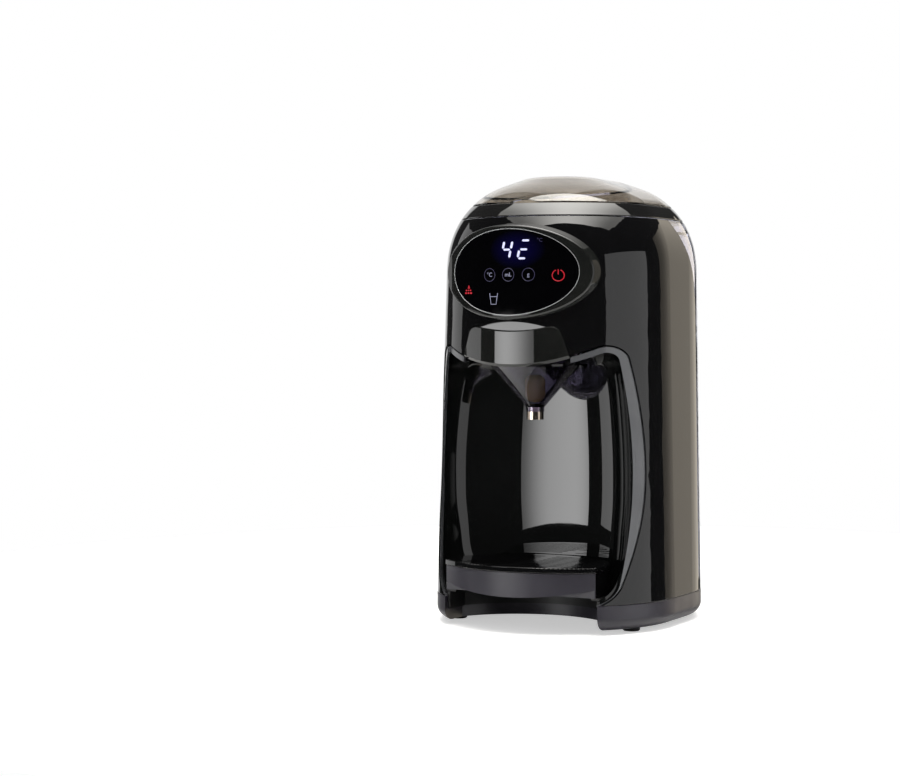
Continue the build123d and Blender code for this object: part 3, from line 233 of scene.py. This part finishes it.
# %% Display window
DIGITS_AT = (6.5 * MM, -107.0 * MM, 281.8 * MM)
BLOOM_SCALE = (45.0, 20.0, 70.0)  # one over the bloom's reach in metres each way
BLOOM_GLOW = 0.035
window, tree, out = new_material("coated_tinted_acrylic")
where = add_node(tree, "ShaderNodeTexCoord")
from_digits = add_node(tree, "ShaderNodeMapping",
                       {"vector_type": "POINT", "Scale": BLOOM_SCALE,
                        "Location": tuple(-at * by for at, by in zip(DIGITS_AT, BLOOM_SCALE))},
                       {"Vector": where.outputs["Object"]})
bloom = add_node(tree, "ShaderNodeTexGradient", {"gradient_type": "SPHERICAL"},
                 {"Vector": from_digits.outputs["Vector"]})
bloom_strength = add_node(tree, "ShaderNodeMath", {"operation": "MULTIPLY", 1: BLOOM_GLOW},
                          {0: bloom.outputs["Fac"]})
shader = add_node(tree, "ShaderNodeBsdfPrincipled",
                  {"Base Color": linear("020203"), "IOR": 1.49, "Specular IOR Level": 0.12,
                   "Emission Color": linear("4a38ff")},
                  {"Roughness": mottled(tree, 100.0, 0.02, 0.04),
                   "Emission Strength": bloom_strength.outputs[0],
                   "Normal": grain_bump(tree, 12.0, 0.0003)})
tree.links.new(shader.outputs["BSDF"], out.inputs["Surface"])
print("materials", len(bpy.data.materials))

# %% [markdown]
# ## Rim and tray
# The hopper rim is polished acrylic, which reflects a little more than the ABS beside it. The tray
# front is eroded to a satin, and the faces that look sideways are coloured near black and made
# glossy, so its finish changes with the direction that a face looks in.

# %% Rim and tray finishes
rim_black = moulded("polished_graphite_PMMA_rim", "101010", "161616", 0.015, 0.03, 9.0, 0.0003, ior=1.6)
FLANK_FROM, FLANK_TO = 0.75, 0.9  # how far a face looks sideways where satin turns to gloss
tray_finish, tree, out = new_material("spark_eroded_ABS_tray")
where = add_node(tree, "ShaderNodeTexCoord")
across = add_node(tree, "ShaderNodeSeparateXYZ", {}, {"Vector": where.outputs["Normal"]})
flank = add_node(tree, "ShaderNodeMath", {"operation": "ABSOLUTE"}, {0: across.outputs["X"]})
mask = add_node(tree, "ShaderNodeMapRange", {"From Min": FLANK_FROM, "From Max": FLANK_TO},
                {"Value": flank.outputs[0]})
satin_tone = add_node(tree, "ShaderNodeMix",
                      {"data_type": "RGBA", 6: linear("26242c"), 7: linear("302e36")},
                      {0: mottled(tree, 25.0, 0.0, 1.0)})
# faces that look sideways get a near black colour in place of the satin tones
tone = add_node(tree, "ShaderNodeMix", {"data_type": "RGBA", 7: linear("060607")},
                {0: mask.outputs["Result"], 6: satin_tone.outputs[2]})
gloss = add_node(tree, "ShaderNodeMapRange", {"To Min": 0.32, "To Max": 0.04},
                 {"Value": mask.outputs["Result"]})
shader = add_node(tree, "ShaderNodeBsdfPrincipled", {},
                  {"Base Color": tone.outputs[2], "Roughness": gloss.outputs["Result"],
                   "Normal": grain_bump(tree, 0.5, 0.006)})
tree.links.new(shader.outputs["BSDF"], out.inputs["Surface"])
print("rim and tray finishes made")

# %% [markdown]
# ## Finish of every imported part
# The record gives each part a material slot. Each slot name leads to one finish, and the rim and
# the tray have their own.

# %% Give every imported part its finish
slot_finish = {
    "body_gloss": piano_black, "bay_gloss": bay_black, "bezel_gloss": bezel_black,
    "trim_gloss": trim_gloss, "skirt_satin": satin_charcoal, "black_plastic": plain_black,
    "rubber_black": rubber, "screw_steel": plated_steel, "display_black": window,
    "board_green": board, "light_guide": opal, "motor_metal": drawn_can,
    "gear_plastic": acetal, "dosing_plastic": white_pp, "tank_smoke": tank_smoke,
    "dome_smoke": dome_smoke, "silicone": silicone, "funnel_smoke": funnel_smoke,
    "nozzle_steel": nozzle_steel, "cast_aluminium": cast_alu,
}
node_slot = {s["node"]: s["material_slot"] for s in frame["record"]["subparts"]}
own_finish = {"hopper_rim": rim_black, "drip_tray": tray_finish}
for name, obj in nodes.items():
    finish = own_finish.get(name) or slot_finish[node_slot[name]]
    if not obj.material_slots:
        obj.data.materials.append(finish)
    for slot in obj.material_slots:
        slot.material = finish
print("finished nodes", len(nodes))

# %% [markdown]
# ## Lit symbols
# The display shows a two digit number, a unit, three keys with a unit in a ring, a power key, a
# heating sign and a beaker. Each stroke is a thin flat body, drawn in the plane of the letters
# and then laid on the curved window. Drawing them flat first keeps the strokes even.

# %% Helper that lays flat symbols on the curved window
POD_AXIS_Y = -3.5 * MM
WINDOW_R = 104.5 * MM


def select_only(obj):
    """Deselects everything else and makes this object the active one."""
    bpy.ops.object.select_all(action="DESELECT")
    obj.select_set(True)
    bpy.context.view_layer.objects.active = obj


def lay_on_window(obj, lift):
    """Takes a drawing in X and Y, in millimetres, onto the window in X and Z."""
    select_only(obj)
    bpy.ops.object.transform_apply(location=True, rotation=True, scale=True)
    for v in obj.data.vertices:
        x, z, thick = v.co.x * MM, v.co.y * MM, v.co.z * MM
        r = WINDOW_R + lift + thick
        v.co = (x, POD_AXIS_Y - math.sqrt(r * r - x * x), z)


def join(name, parts):
    """Joins drawings into one piece."""
    select_only(parts[0])
    for part in parts:
        part.select_set(True)
    bpy.ops.object.join()
    parts[0].name = name
    parts[0].data.name = name
    return parts[0]


print("window radius", WINDOW_R)

# %% [markdown]
# A bar of a digit is a flat box with its upright edges bevelled to points. A line is a poly curve
# with a thin round section, pressed flat after it is made a mesh. Units are letters with a little
# thickness. All are drawn in millimetres.

# %% Strokes of the symbols
STROKE_THICK = 0.06
LINE_FLAT = 0.12     # a round line is pressed to this part of its height
BAR_POINT = 0.42     # bevel at a bar's ends, as part of its width


def segment(x, z, length, width, slant):
    """Flat bar with pointed ends, as in a seven segment digit. The angle is from the X axis."""
    bpy.ops.mesh.primitive_cube_add(size=1.0, location=(x, z, 0.0))
    bar = bpy.context.object
    bar.scale = (length, width, STROKE_THICK)
    bar.rotation_euler = (0.0, 0.0, slant)
    select_only(bar)
    bpy.ops.object.transform_apply(location=False, rotation=False, scale=True)
    bpy.ops.object.mode_set(mode="EDIT")
    bpy.ops.mesh.select_mode(type="EDGE")
    bpy.ops.mesh.select_all(action="DESELECT")
    bpy.ops.object.mode_set(mode="OBJECT")
    for edge in bar.data.edges:
        a, b = (bar.data.vertices[i].co for i in edge.vertices)
        edge.select = abs(a.z - b.z) > 0.5 * STROKE_THICK
    bpy.ops.object.mode_set(mode="EDIT")
    bpy.ops.mesh.bevel(offset=BAR_POINT * width, segments=1, affect="EDGES")
    bpy.ops.object.mode_set(mode="OBJECT")
    return bar


def line_symbol(points, width, closed=False):
    """Thin rounded line through points in the drawing plane."""
    data = bpy.data.curves.new("line", "CURVE")
    data.dimensions = "3D"
    data.bevel_depth = width / 2
    data.bevel_resolution = 1
    spline = data.splines.new("POLY")
    spline.points.add(len(points) - 1)
    for point, (x, z) in zip(spline.points, points):
        point.co = (x, z, 0.0, 1.0)
    spline.use_cyclic_u = closed
    obj = bpy.data.objects.new("line", data)
    bpy.context.scene.collection.objects.link(obj)
    select_only(obj)
    bpy.ops.object.convert(target="MESH")
    obj = bpy.context.object
    obj.scale.z = LINE_FLAT
    select_only(obj)
    bpy.ops.object.transform_apply(location=False, rotation=False, scale=True)
    return obj


def arc_points(x, z, r, start, end, count=28):
    """Points on an arc, the angles in degrees."""
    angles = [math.radians(start + (end - start) * k / count) for k in range(count + 1)]
    return [(x + r * math.cos(a), z + r * math.sin(a)) for a in angles]


def letters(text, x, z, height):
    """Unit letters, made a mesh before they are placed."""
    bpy.ops.object.text_add(location=(x, z, 0.0))
    obj = bpy.context.object
    obj.data.body = text
    obj.data.size = height * 1.4
    obj.data.align_x = "CENTER"
    obj.data.align_y = "CENTER"
    obj.data.extrude = STROKE_THICK / 2
    obj.data.resolution_u = 4
    select_only(obj)
    bpy.ops.object.convert(target="MESH")
    return bpy.context.object


print("stroke thickness in mm", STROKE_THICK)

# %% [markdown]
# Lit strokes are LED light behind the acrylic. Their brightness varies a little along a stroke,
# because each one is lit by a single small lamp.

# %% Lit materials


def lit(name, colour, strength):
    """Light that comes through a printed mask, uneven over a few millimetres."""
    mat, tree, out = new_material(name)
    level = mottled(tree, 1.0 / (3.0 * MM), 0.8 * strength, 1.1 * strength)
    shader = add_node(tree, "ShaderNodeBsdfPrincipled",
                      {"Base Color": linear("050505"), "Roughness": 0.3, "Emission Color": linear(colour)},
                      {"Emission Strength": level})
    tree.links.new(shader.outputs["BSDF"], out.inputs["Surface"])
    return mat


led_white = lit("led_through_mask_white", "d9dbff", 1.25)
led_pale = lit("led_through_mask_pale", "b9bbdc", 0.62)
led_dim = lit("led_through_mask_dim", "8078c0", 0.16)
led_red = lit("led_through_mask_red", "ff2238", 0.62)
print("lit materials made")

# %% [markdown]
# ## Digits
# Two seven segment digits lean to the right. Only the lit bars are made, because an unlit one
# can't be seen through the dark acrylic.

# %% Digits
DIGIT_Z = 281.8
FIRST_X, SECOND_X = -1.2, 12.3
DIGIT_H = 13.0
DIGIT_W = 6.6
LEAN = math.radians(13)
BAR_W = 1.75
UPRIGHT_GAP, LEVEL_GAP = 1.3, 1.2   # how much shorter the bars are than the digit's grid
# segments as column, row and whether upright, in half digits from the middle
UPRIGHT = {"upper_left": (-1, 1), "upper_right": (1, 1), "lower_left": (-1, -1), "lower_right": (1, -1)}
LEVEL = {"top": 1, "middle": 0, "bottom": -1}


def digit(x, z, lit_bars):
    """Slanted seven segment digit about its middle, with only the named bars."""
    made = []
    for bar in lit_bars:
        if bar in UPRIGHT:
            side, half = UPRIGHT[bar]
            dz = half * DIGIT_H / 4
            dx = side * DIGIT_W / 2 + dz * math.tan(LEAN)
            made.append(segment(x + dx, z + dz, DIGIT_H / 2 - UPRIGHT_GAP, BAR_W,
                                math.pi / 2 - LEAN))
        else:
            dz = LEVEL[bar] * DIGIT_H / 2
            made.append(segment(x + dz * math.tan(LEAN), z + dz, DIGIT_W - LEVEL_GAP,
                                BAR_W * 0.85, 0.0))
    return made


four = digit(FIRST_X, DIGIT_Z, ["upper_left", "upper_right", "middle", "lower_right"])
two = digit(SECOND_X, DIGIT_Z, ["top", "middle", "lower_left", "bottom"])
digits = join("display_digits", four + two)
lay_on_window(digits, 0.04 * MM)
print("digit faces", len(digits.data.polygons))

# %% [markdown]
# ## Keys and signs
# Three keys carry a unit in a ring: degrees, millilitres and grams. Below them stands a beaker, on
# the right a power key, and on the left a sign for heat. They are touch keys printed behind the
# window, so they are lit shapes and nothing there moves.

# %% Keys, unit and signs
SYMBOL_LIFT = 0.03 * MM
KEYS = {"\u00b0C": (-15.8, 263.5), "mL": (0.0, 263.5), "g": (15.8, 263.5)}
KEY_R = 4.7
pale_marks = [letters(unit, x, z, 3.1) for unit, (x, z) in KEYS.items()]
cup_x, cup_z = -12.2, 246.0
pale_marks.append(line_symbol([(cup_x - 3.5, cup_z + 4.1), (cup_x - 2.3, cup_z - 4.0),
                               (cup_x + 2.1, cup_z - 4.0), (cup_x + 3.4, cup_z + 4.1)], 0.55))
pale_marks.append(line_symbol([(cup_x - 2.9, cup_z + 1.6), (cup_x + 2.9, cup_z + 1.6)], 0.45))
units = join("display_units", pale_marks)
lay_on_window(units, SYMBOL_LIFT)

dim_marks = [line_symbol(arc_points(x, z, KEY_R, 0, 350), 0.42, True) for x, z in KEYS.values()]
dim_marks.append(letters("\u00b0C", 24.2, 288.4, 2.7))
rings = join("display_rings", dim_marks)
lay_on_window(rings, SYMBOL_LIFT)

power_x, power_z = 37.2, 262.8
heat_x, heat_z = -36.0, 253.0
red_marks = [line_symbol(arc_points(power_x, power_z, 4.1, 112, 428), 0.62),
             line_symbol([(power_x, power_z + 0.6), (power_x, power_z + 4.3)], 0.6)]
for dx in (-2.6, 0.0, 2.6):
    red_marks.append(segment(heat_x + dx, heat_z - 2.6, 2.1, 1.2, 0.0))
    red_marks.append(segment(heat_x + dx * 0.8, heat_z - 0.6, 1.6, 1.1, 0.0))
red_marks.append(segment(heat_x + 0.4, heat_z + 1.9, 2.6, 1.1, math.pi / 2))
red_marks.append(segment(heat_x + 0.4, heat_z + 1.2, 2.4, 0.7, 0.0))
signs = join("display_signs", red_marks)
lay_on_window(signs, SYMBOL_LIFT)
for piece, finish in ((digits, led_white), (units, led_pale), (rings, led_dim), (signs, led_red)):
    piece.data.materials.clear()
    piece.data.materials.append(finish)
    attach(piece, "housing")
print("symbols on the window", [p.name for p in (digits, units, rings, signs)])

# %% [markdown]
# ## Bead round the window
# A bead closes the joint between the window and its oval ring. Its pale grey is a painted highlight:
# it draws the thin bright line that the ring's polished inner edge shows round the black oval. It is
# a thin torus, stretched to the oval and bent back with the window.

# %% Window bead
GLASS_A, GLASS_B, GLASS_Z = 51.4, 31.7, 265.5
BEAD_R = 0.42
BEAD_PROUD = 0.05     # how far its middle stands off the window
TORUS_MINOR = 0.1     # the torus is made at unit size, then its section is stretched to BEAD_R
bpy.ops.object.select_all(action="DESELECT")
bpy.ops.mesh.primitive_torus_add(major_segments=160, minor_segments=10,
                                 major_radius=1.0, minor_radius=TORUS_MINOR, location=(0, 0, 0))
bead = bpy.context.object
bead.name = "window_bead"
for v in bead.data.vertices:
    turn = math.atan2(v.co.y, v.co.x)
    out_by = (math.hypot(v.co.x, v.co.y) - 1.0) * BEAD_R / TORUS_MINOR
    up_by = v.co.z * BEAD_R / TORUS_MINOR
    x = (GLASS_A + out_by) * math.cos(turn)
    z = GLASS_Z + (GLASS_B + out_by) * math.sin(turn)
    r = WINDOW_R / MM + BEAD_PROUD + up_by
    v.co = (x * MM, POD_AXIS_Y - math.sqrt(r * r - x * x) * MM, z * MM)
select_only(bead)
bpy.ops.object.mode_set(mode="EDIT")
bpy.ops.mesh.select_all(action="SELECT")
bpy.ops.mesh.normals_make_consistent(inside=False)
bpy.ops.object.mode_set(mode="OBJECT")
bpy.ops.object.shade_smooth()
# the bead's pale grey is a painted highlight, the bright line round the black oval
bead_painted_highlight = moulded("pale_grey_bead_painted_highlight", "8e9092", "a2a4a6", 0.03, 0.06, 9.0, 0.0003)
bead.data.materials.append(bead_painted_highlight)
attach(bead, "housing")
print("bead faces", len(bead.data.polygons))

# %% [markdown]
# ## Bay tub
# The wall behind the bottle is one concave skin. In plan it is nearly flat in the middle and turns
# in towards the sides, and its width follows the outline of the opening, so the reflections in it
# are curved strips. The outline of one side is drawn as a curve, extruded backwards in steps, and
# narrowed at each step as a superellipse asks. A mirror makes the other side.

# %% Bay tub
TUB_FRONT_Y, TUB_BACK_Y = -60.0, -19.75
TUB_A, TUB_B, TUB_POWER = 86.0, 82.0, 2.6
TUB_FOOT_Z = 24.4
TUB_CEILING_DROP = 0.068   # how much lower the ceiling is at the back, as part of the height
TUB_STEPS = 22
TUB_SKIN = 0.6 * MM
NARROWEST = 0.0005         # the last step keeps this much width, so that no face loses its area
TUB_SIDE = [(58.8, TUB_FOOT_Z), (71.7, 38.0), (79.0, 79.0), (80.4, 108.0), (78.0, 160.0),
            (74.4, 188.0), (71.6, 198.8), (66.5, 203.6), (60.0, 204.6)]


def tub_scale(y):
    """How wide the tub is at this depth, against its width at the front."""
    def half_width(depth):
        return TUB_A * (1 - (1 - depth / TUB_B) ** TUB_POWER) ** (1 / TUB_POWER)
    return half_width(TUB_BACK_Y - y) / half_width(TUB_BACK_Y - TUB_FRONT_Y)


data = bpy.data.curves.new("bay_tub", "CURVE")
data.dimensions = "3D"
data.resolution_u = 6
spline = data.splines.new("BEZIER")
spline.bezier_points.add(len(TUB_SIDE) - 1)
for point, (x, z) in zip(spline.bezier_points, TUB_SIDE):
    point.co = (x * MM, TUB_FRONT_Y * MM, z * MM)
    point.handle_left_type = point.handle_right_type = "AUTO"
tub = bpy.data.objects.new("bay_tub", data)
bpy.context.scene.collection.objects.link(tub)
select_only(tub)
bpy.ops.object.convert(target="MESH")
tub = bpy.context.object
bpy.ops.object.mode_set(mode="EDIT")
bpy.ops.mesh.select_mode(type="VERT")
bpy.ops.mesh.select_all(action="SELECT")
y_now, scale_now, high_now = TUB_FRONT_Y, 1.0, 1.0
for k in range(1, TUB_STEPS + 1):
    # equal turns of the wall, so the steps are short where it curves most
    turn = math.pi / 2 * k / TUB_STEPS
    y_next = TUB_FRONT_Y + (TUB_BACK_Y - TUB_FRONT_Y) * math.sin(turn)
    scale_next = max(tub_scale(y_next), NARROWEST)
    high_next = 1 - TUB_CEILING_DROP * (1 - scale_next)
    bpy.ops.mesh.extrude_region_move(
        TRANSFORM_OT_translate={"value": (0, (y_next - y_now) * MM, 0)})
    bpy.ops.transform.resize(value=(scale_next / scale_now, 1, high_next / high_now),
                             center_override=(0, 0, TUB_FOOT_Z * MM))
    y_now, scale_now, high_now = y_next, scale_next, high_next
bpy.ops.object.mode_set(mode="OBJECT")
mirror = tub.modifiers.new("other_side", "MIRROR")
mirror.merge_threshold = 0.1 * MM
bpy.ops.object.modifier_apply(modifier="other_side")
bpy.ops.object.mode_set(mode="EDIT")
bpy.ops.mesh.select_all(action="SELECT")
bpy.ops.mesh.remove_doubles(threshold=0.1 * MM)
bpy.ops.mesh.normals_make_consistent(inside=False)
bpy.ops.object.mode_set(mode="OBJECT")
# the wall has to face the bottle, so the skin is turned over if its back faces the rear
back_faces = [f for f in tub.data.polygons if abs(f.center.x) < 10 * MM]
if sum(f.normal.y for f in back_faces) > 0:
    bpy.ops.object.mode_set(mode="EDIT")
    bpy.ops.mesh.select_all(action="SELECT")
    bpy.ops.mesh.flip_normals()
    bpy.ops.object.mode_set(mode="OBJECT")
skin = tub.modifiers.new("wall", "SOLIDIFY")
skin.thickness = TUB_SKIN
skin.offset = -1
bpy.ops.object.modifier_apply(modifier="wall")
bpy.ops.object.shade_smooth_by_angle(angle=math.radians(40))
tub.data.materials.append(bay_black)
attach(tub, "housing")
print("tub faces", len(tub.data.polygons))

# %% [markdown]
# ## Mixing tube in the funnel
# Inside the clear funnel stands a short brownish tube with a domed top, in line with the nozzle,
# where the powder is wetted. It is a cylinder bevelled in several segments. The bevel takes in
# every edge, because the cylinder's faces are still selected when it starts. The brown is a tinted
# plastic, a shade that the clear funnel in front of it makes darker.

# %% Mixing tube
POUR_Y = -62.5 * MM
TUBE_R, TUBE_LOW, TUBE_HIGH = 6.3 * MM, 169.6 * MM, 190.0 * MM
TUBE_ROUND = 4.6 * MM
bpy.ops.object.select_all(action="DESELECT")
bpy.ops.mesh.primitive_cylinder_add(vertices=48, radius=TUBE_R, depth=TUBE_HIGH - TUBE_LOW,
                                    location=(0, POUR_Y, (TUBE_LOW + TUBE_HIGH) / 2))
tube = bpy.context.object
tube.name = "mixing_tube"
bpy.ops.object.transform_apply(location=True, rotation=True, scale=True)
for edge in tube.data.edges:
    edge.select = all(tube.data.vertices[i].co.z > TUBE_HIGH - 0.1 * MM for i in edge.vertices)
bpy.ops.object.mode_set(mode="EDIT")
bpy.ops.mesh.select_mode(type="EDGE")
bpy.ops.object.mode_set(mode="OBJECT")
for edge in tube.data.edges:
    edge.select = all(tube.data.vertices[i].co.z > TUBE_HIGH - 0.1 * MM for i in edge.vertices)
bpy.ops.object.mode_set(mode="EDIT")
bpy.ops.mesh.bevel(offset=TUBE_ROUND, segments=8, affect="EDGES")
bpy.ops.object.mode_set(mode="OBJECT")
bpy.ops.object.shade_smooth_by_angle(angle=math.radians(35))
tube_brown = moulded("brown_tritan_tube", "948148", "a69055", 0.12, 0.22, 4.0, 0.002)
tube.data.materials.append(tube_brown)
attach(tube, "drawer")
print("tube top", round(TUBE_HIGH / MM, 1))

# %% [markdown]
# ## Studio
# Black gloss shows little but what stands around it, so the studio is made of a few pale shapes
# with dark gaps between them. The floor is a pale sweep that takes the machine's soft shadow. The
# eye sees it a little brighter than a real floor, so that it runs into the white background.

# %% Floor
bpy.ops.object.select_all(action="DESELECT")
FLOOR_R = 0.7
bpy.ops.mesh.primitive_circle_add(vertices=128, radius=FLOOR_R, fill_type="NGON",
                                  location=(0, 0.05, -0.2 * MM))
floor = bpy.context.object
floor.name = "floor"
mat, tree, out = new_material("pale_floor")
base = add_node(tree, "ShaderNodeBsdfDiffuse", {"Color": linear("e6e6e6")})
lift = add_node(tree, "ShaderNodeEmission", {"Color": (1, 1, 1, 1), "Strength": 0.5})
ray = add_node(tree, "ShaderNodeLightPath")
seen = add_node(tree, "ShaderNodeMath", {"operation": "MAXIMUM"},
                {0: ray.outputs["Is Camera Ray"], 1: ray.outputs["Is Transmission Ray"]})
total = add_node(tree, "ShaderNodeAddShader", {}, {0: base.outputs[0], 1: lift.outputs[0]})
pale = add_node(tree, "ShaderNodeMixShader", {},
                {0: seen.outputs[0], 1: base.outputs[0], 2: total.outputs[0]})
# gloss that looks along the floor passes over its edge into the dark studio
slope = add_node(tree, "ShaderNodeLayerWeight", {"Blend": 0.5})
flat_on = add_node(tree, "ShaderNodeMapRange", {"From Min": 0.55, "From Max": 0.8},
                   {"Value": slope.outputs["Facing"]})
skim = add_node(tree, "ShaderNodeMath", {"operation": "MULTIPLY"},
                {0: ray.outputs["Is Glossy Ray"], 1: flat_on.outputs["Result"]})
clear = add_node(tree, "ShaderNodeBsdfTransparent", {})
mix = add_node(tree, "ShaderNodeMixShader", {},
               {0: skim.outputs[0], 1: pale.outputs[0], 2: clear.outputs[0]})
tree.links.new(mix.outputs[0], out.inputs["Surface"])
floor.data.materials.append(mat)
print("floor laid")

# %% [markdown]
# The room behind the machine is white and the rest of it is nearly black, but only in
# reflections. For soft light the room is an even grey, and the camera sees white.

# %% World
ROOM_SOFT, ROOM_DARK = 0.45, 0.04
WHITE_FROM, WHITE_FULL = 0.925, 0.945  # cosines of the angle from the middle of the white part
world = bpy.data.worlds.new("studio_world")
bpy.context.scene.world = world
world.use_nodes = True
tree = world.node_tree
tree.nodes.clear()
out = tree.nodes.new("ShaderNodeOutputWorld")
ray = add_node(tree, "ShaderNodeLightPath")
where = add_node(tree, "ShaderNodeTexCoord")
BEHIND = (-math.sin(TURN), math.cos(TURN), 0.0)
level_way = add_node(tree, "ShaderNodeVectorMath", {"operation": "MULTIPLY", 1: (1.0, 1.0, 0.0)},
                     {0: where.outputs["Generated"]})
heading = add_node(tree, "ShaderNodeVectorMath", {"operation": "NORMALIZE"}, {0: level_way.outputs[0]})
facing = add_node(tree, "ShaderNodeVectorMath", {"operation": "DOT_PRODUCT", 1: BEHIND},
                  {0: heading.outputs[0]})
fade = add_node(tree, "ShaderNodeMapRange", {"From Min": WHITE_FROM, "From Max": WHITE_FULL,
                                             "To Min": ROOM_DARK, "To Max": 1.0},
                {"Value": facing.outputs["Value"]})
gloss = add_node(tree, "ShaderNodeBackground", {"Color": (1, 1, 1, 1)},
                 {"Strength": fade.outputs["Result"]})
soft = add_node(tree, "ShaderNodeBackground", {"Color": (1, 1, 1, 1), "Strength": ROOM_SOFT})
white = add_node(tree, "ShaderNodeBackground", {"Color": (1, 1, 1, 1), "Strength": 1.0})
first = add_node(tree, "ShaderNodeMixShader", {},
                 {0: ray.outputs["Is Glossy Ray"], 1: soft.outputs[0], 2: gloss.outputs[0]})
straight = add_node(tree, "ShaderNodeMath", {"operation": "MAXIMUM"},
                    {0: ray.outputs["Is Camera Ray"], 1: ray.outputs["Is Transmission Ray"]})
second = add_node(tree, "ShaderNodeMixShader", {},
                  {0: straight.outputs[0], 1: first.outputs[0], 2: white.outputs[0]})
tree.links.new(second.outputs[0], out.inputs["Surface"])
print("world set")

# %% [markdown]
# ## Softboxes
# Even panels with crisp edges. The one on the right draws the broad grey stripe down the side and
# the one at the front left the narrow stripe at the plate's end. The last one lights the left
# side, so that the outline doesn't sink into black there.

# %% Softboxes


def softbox(name, place, target, width, height, radiance, colour="ffffff"):
    """Rectangular softbox. A diffusing panel of that radiance needs pi times its area in watts."""
    data = bpy.data.lights.new(name, "AREA")
    data.shape = "RECTANGLE"
    data.size, data.size_y = width, height
    data.energy = radiance * math.pi * width * height
    data.color = linear(colour)[:3]
    lamp = bpy.data.objects.new(name, data)
    bpy.context.scene.collection.objects.link(lamp)
    lamp.location = place
    aim = Vector(target) - Vector(place)
    lamp.rotation_euler = aim.to_track_quat("-Z", "Y").to_euler()
    lamp.visible_camera = False
    return lamp


def around(angle, distance, height):
    """Place at an angle from the front, positive towards the machine's right."""
    a = math.radians(angle)
    return (distance * math.sin(a), -distance * math.cos(a), height)


softbox("right_panel", around(90, 1.3, 0.16), (0, 0, 0.1), 1.15, 0.93, 1.15)
softbox("left_front_strip", around(-61, 1.4, 0.10), (0, 0, 0.10), 0.40, 0.27, 1.9)
softbox("left_panel", around(-97, 1.3, 0.35), (0, 0, 0.15), 0.5, 1.0, 1.0)

# %% [markdown]
# Where a highlight fades across the gloss, the light is a diffusing cloth with a lamp close behind
# one part of it. A long one hangs over the machine and lights the lid and the rim. One at the
# front gives the soft stripe on the drawer plate and on the back of the bay, and a warm one
# behind gives the strip at the rear of the side.

# %% Diffusing cloths


def cloth(name, place, target, size, peak_x, reach, high, low, colour="ffffff", turn=None):
    """Glowing cloth, brightest at peak_x and fading over reach along its width."""
    bpy.ops.object.select_all(action="DESELECT")
    bpy.ops.mesh.primitive_plane_add(size=1.0, location=(0, 0, 0))
    sheet = bpy.context.object
    sheet.name = name
    sheet.scale = (size[0], size[1], 1.0)
    bpy.ops.object.transform_apply(location=False, rotation=False, scale=True)
    aim = Vector(target) - Vector(place)
    sheet.rotation_euler = turn or aim.to_track_quat("Z", "Y").to_euler()
    sheet.location = place
    mat, tree, out = new_material(name)
    where = add_node(tree, "ShaderNodeTexCoord")
    along = add_node(tree, "ShaderNodeSeparateXYZ", {}, {"Vector": where.outputs["Object"]})
    shift = add_node(tree, "ShaderNodeMath", {"operation": "SUBTRACT", 1: peak_x},
                     {0: along.outputs["X"]})
    far = add_node(tree, "ShaderNodeMath", {"operation": "ABSOLUTE"}, {0: shift.outputs[0]})
    level = add_node(tree, "ShaderNodeMapRange",
                     {"interpolation_type": "SMOOTHSTEP", "From Min": 0.0, "From Max": reach,
                      "To Min": high, "To Max": low},
                     {"Value": far.outputs[0]})
    glow = add_node(tree, "ShaderNodeEmission", {"Color": linear(colour)},
                    {"Strength": level.outputs["Result"]})
    tree.links.new(glow.outputs[0], out.inputs["Surface"])
    sheet.data.materials.append(mat)
    sheet.visible_camera = False
    return sheet


cloth("overhead_cloth", (0.17, -0.22, 1.40), (0, 0, 0), (2.1, 1.15), peak_x=0.0, reach=0.95,
      high=9.5, low=2.0, colour="fffdf8", turn=(math.pi, 0.0, TURN))
cloth("front_left_cloth", around(-22, 1.58, 0.085), (0, 0, 0.085), (0.98, 0.315), peak_x=0.19,
      reach=0.72, high=7.5, low=1.6)
cloth("rear_cloth", around(154, 1.3, 0.25), (0, 0, 0.1), (0.96, 1.1), peak_x=-0.48, reach=0.96,
      high=1.5, low=0.4, colour="fff4e2")
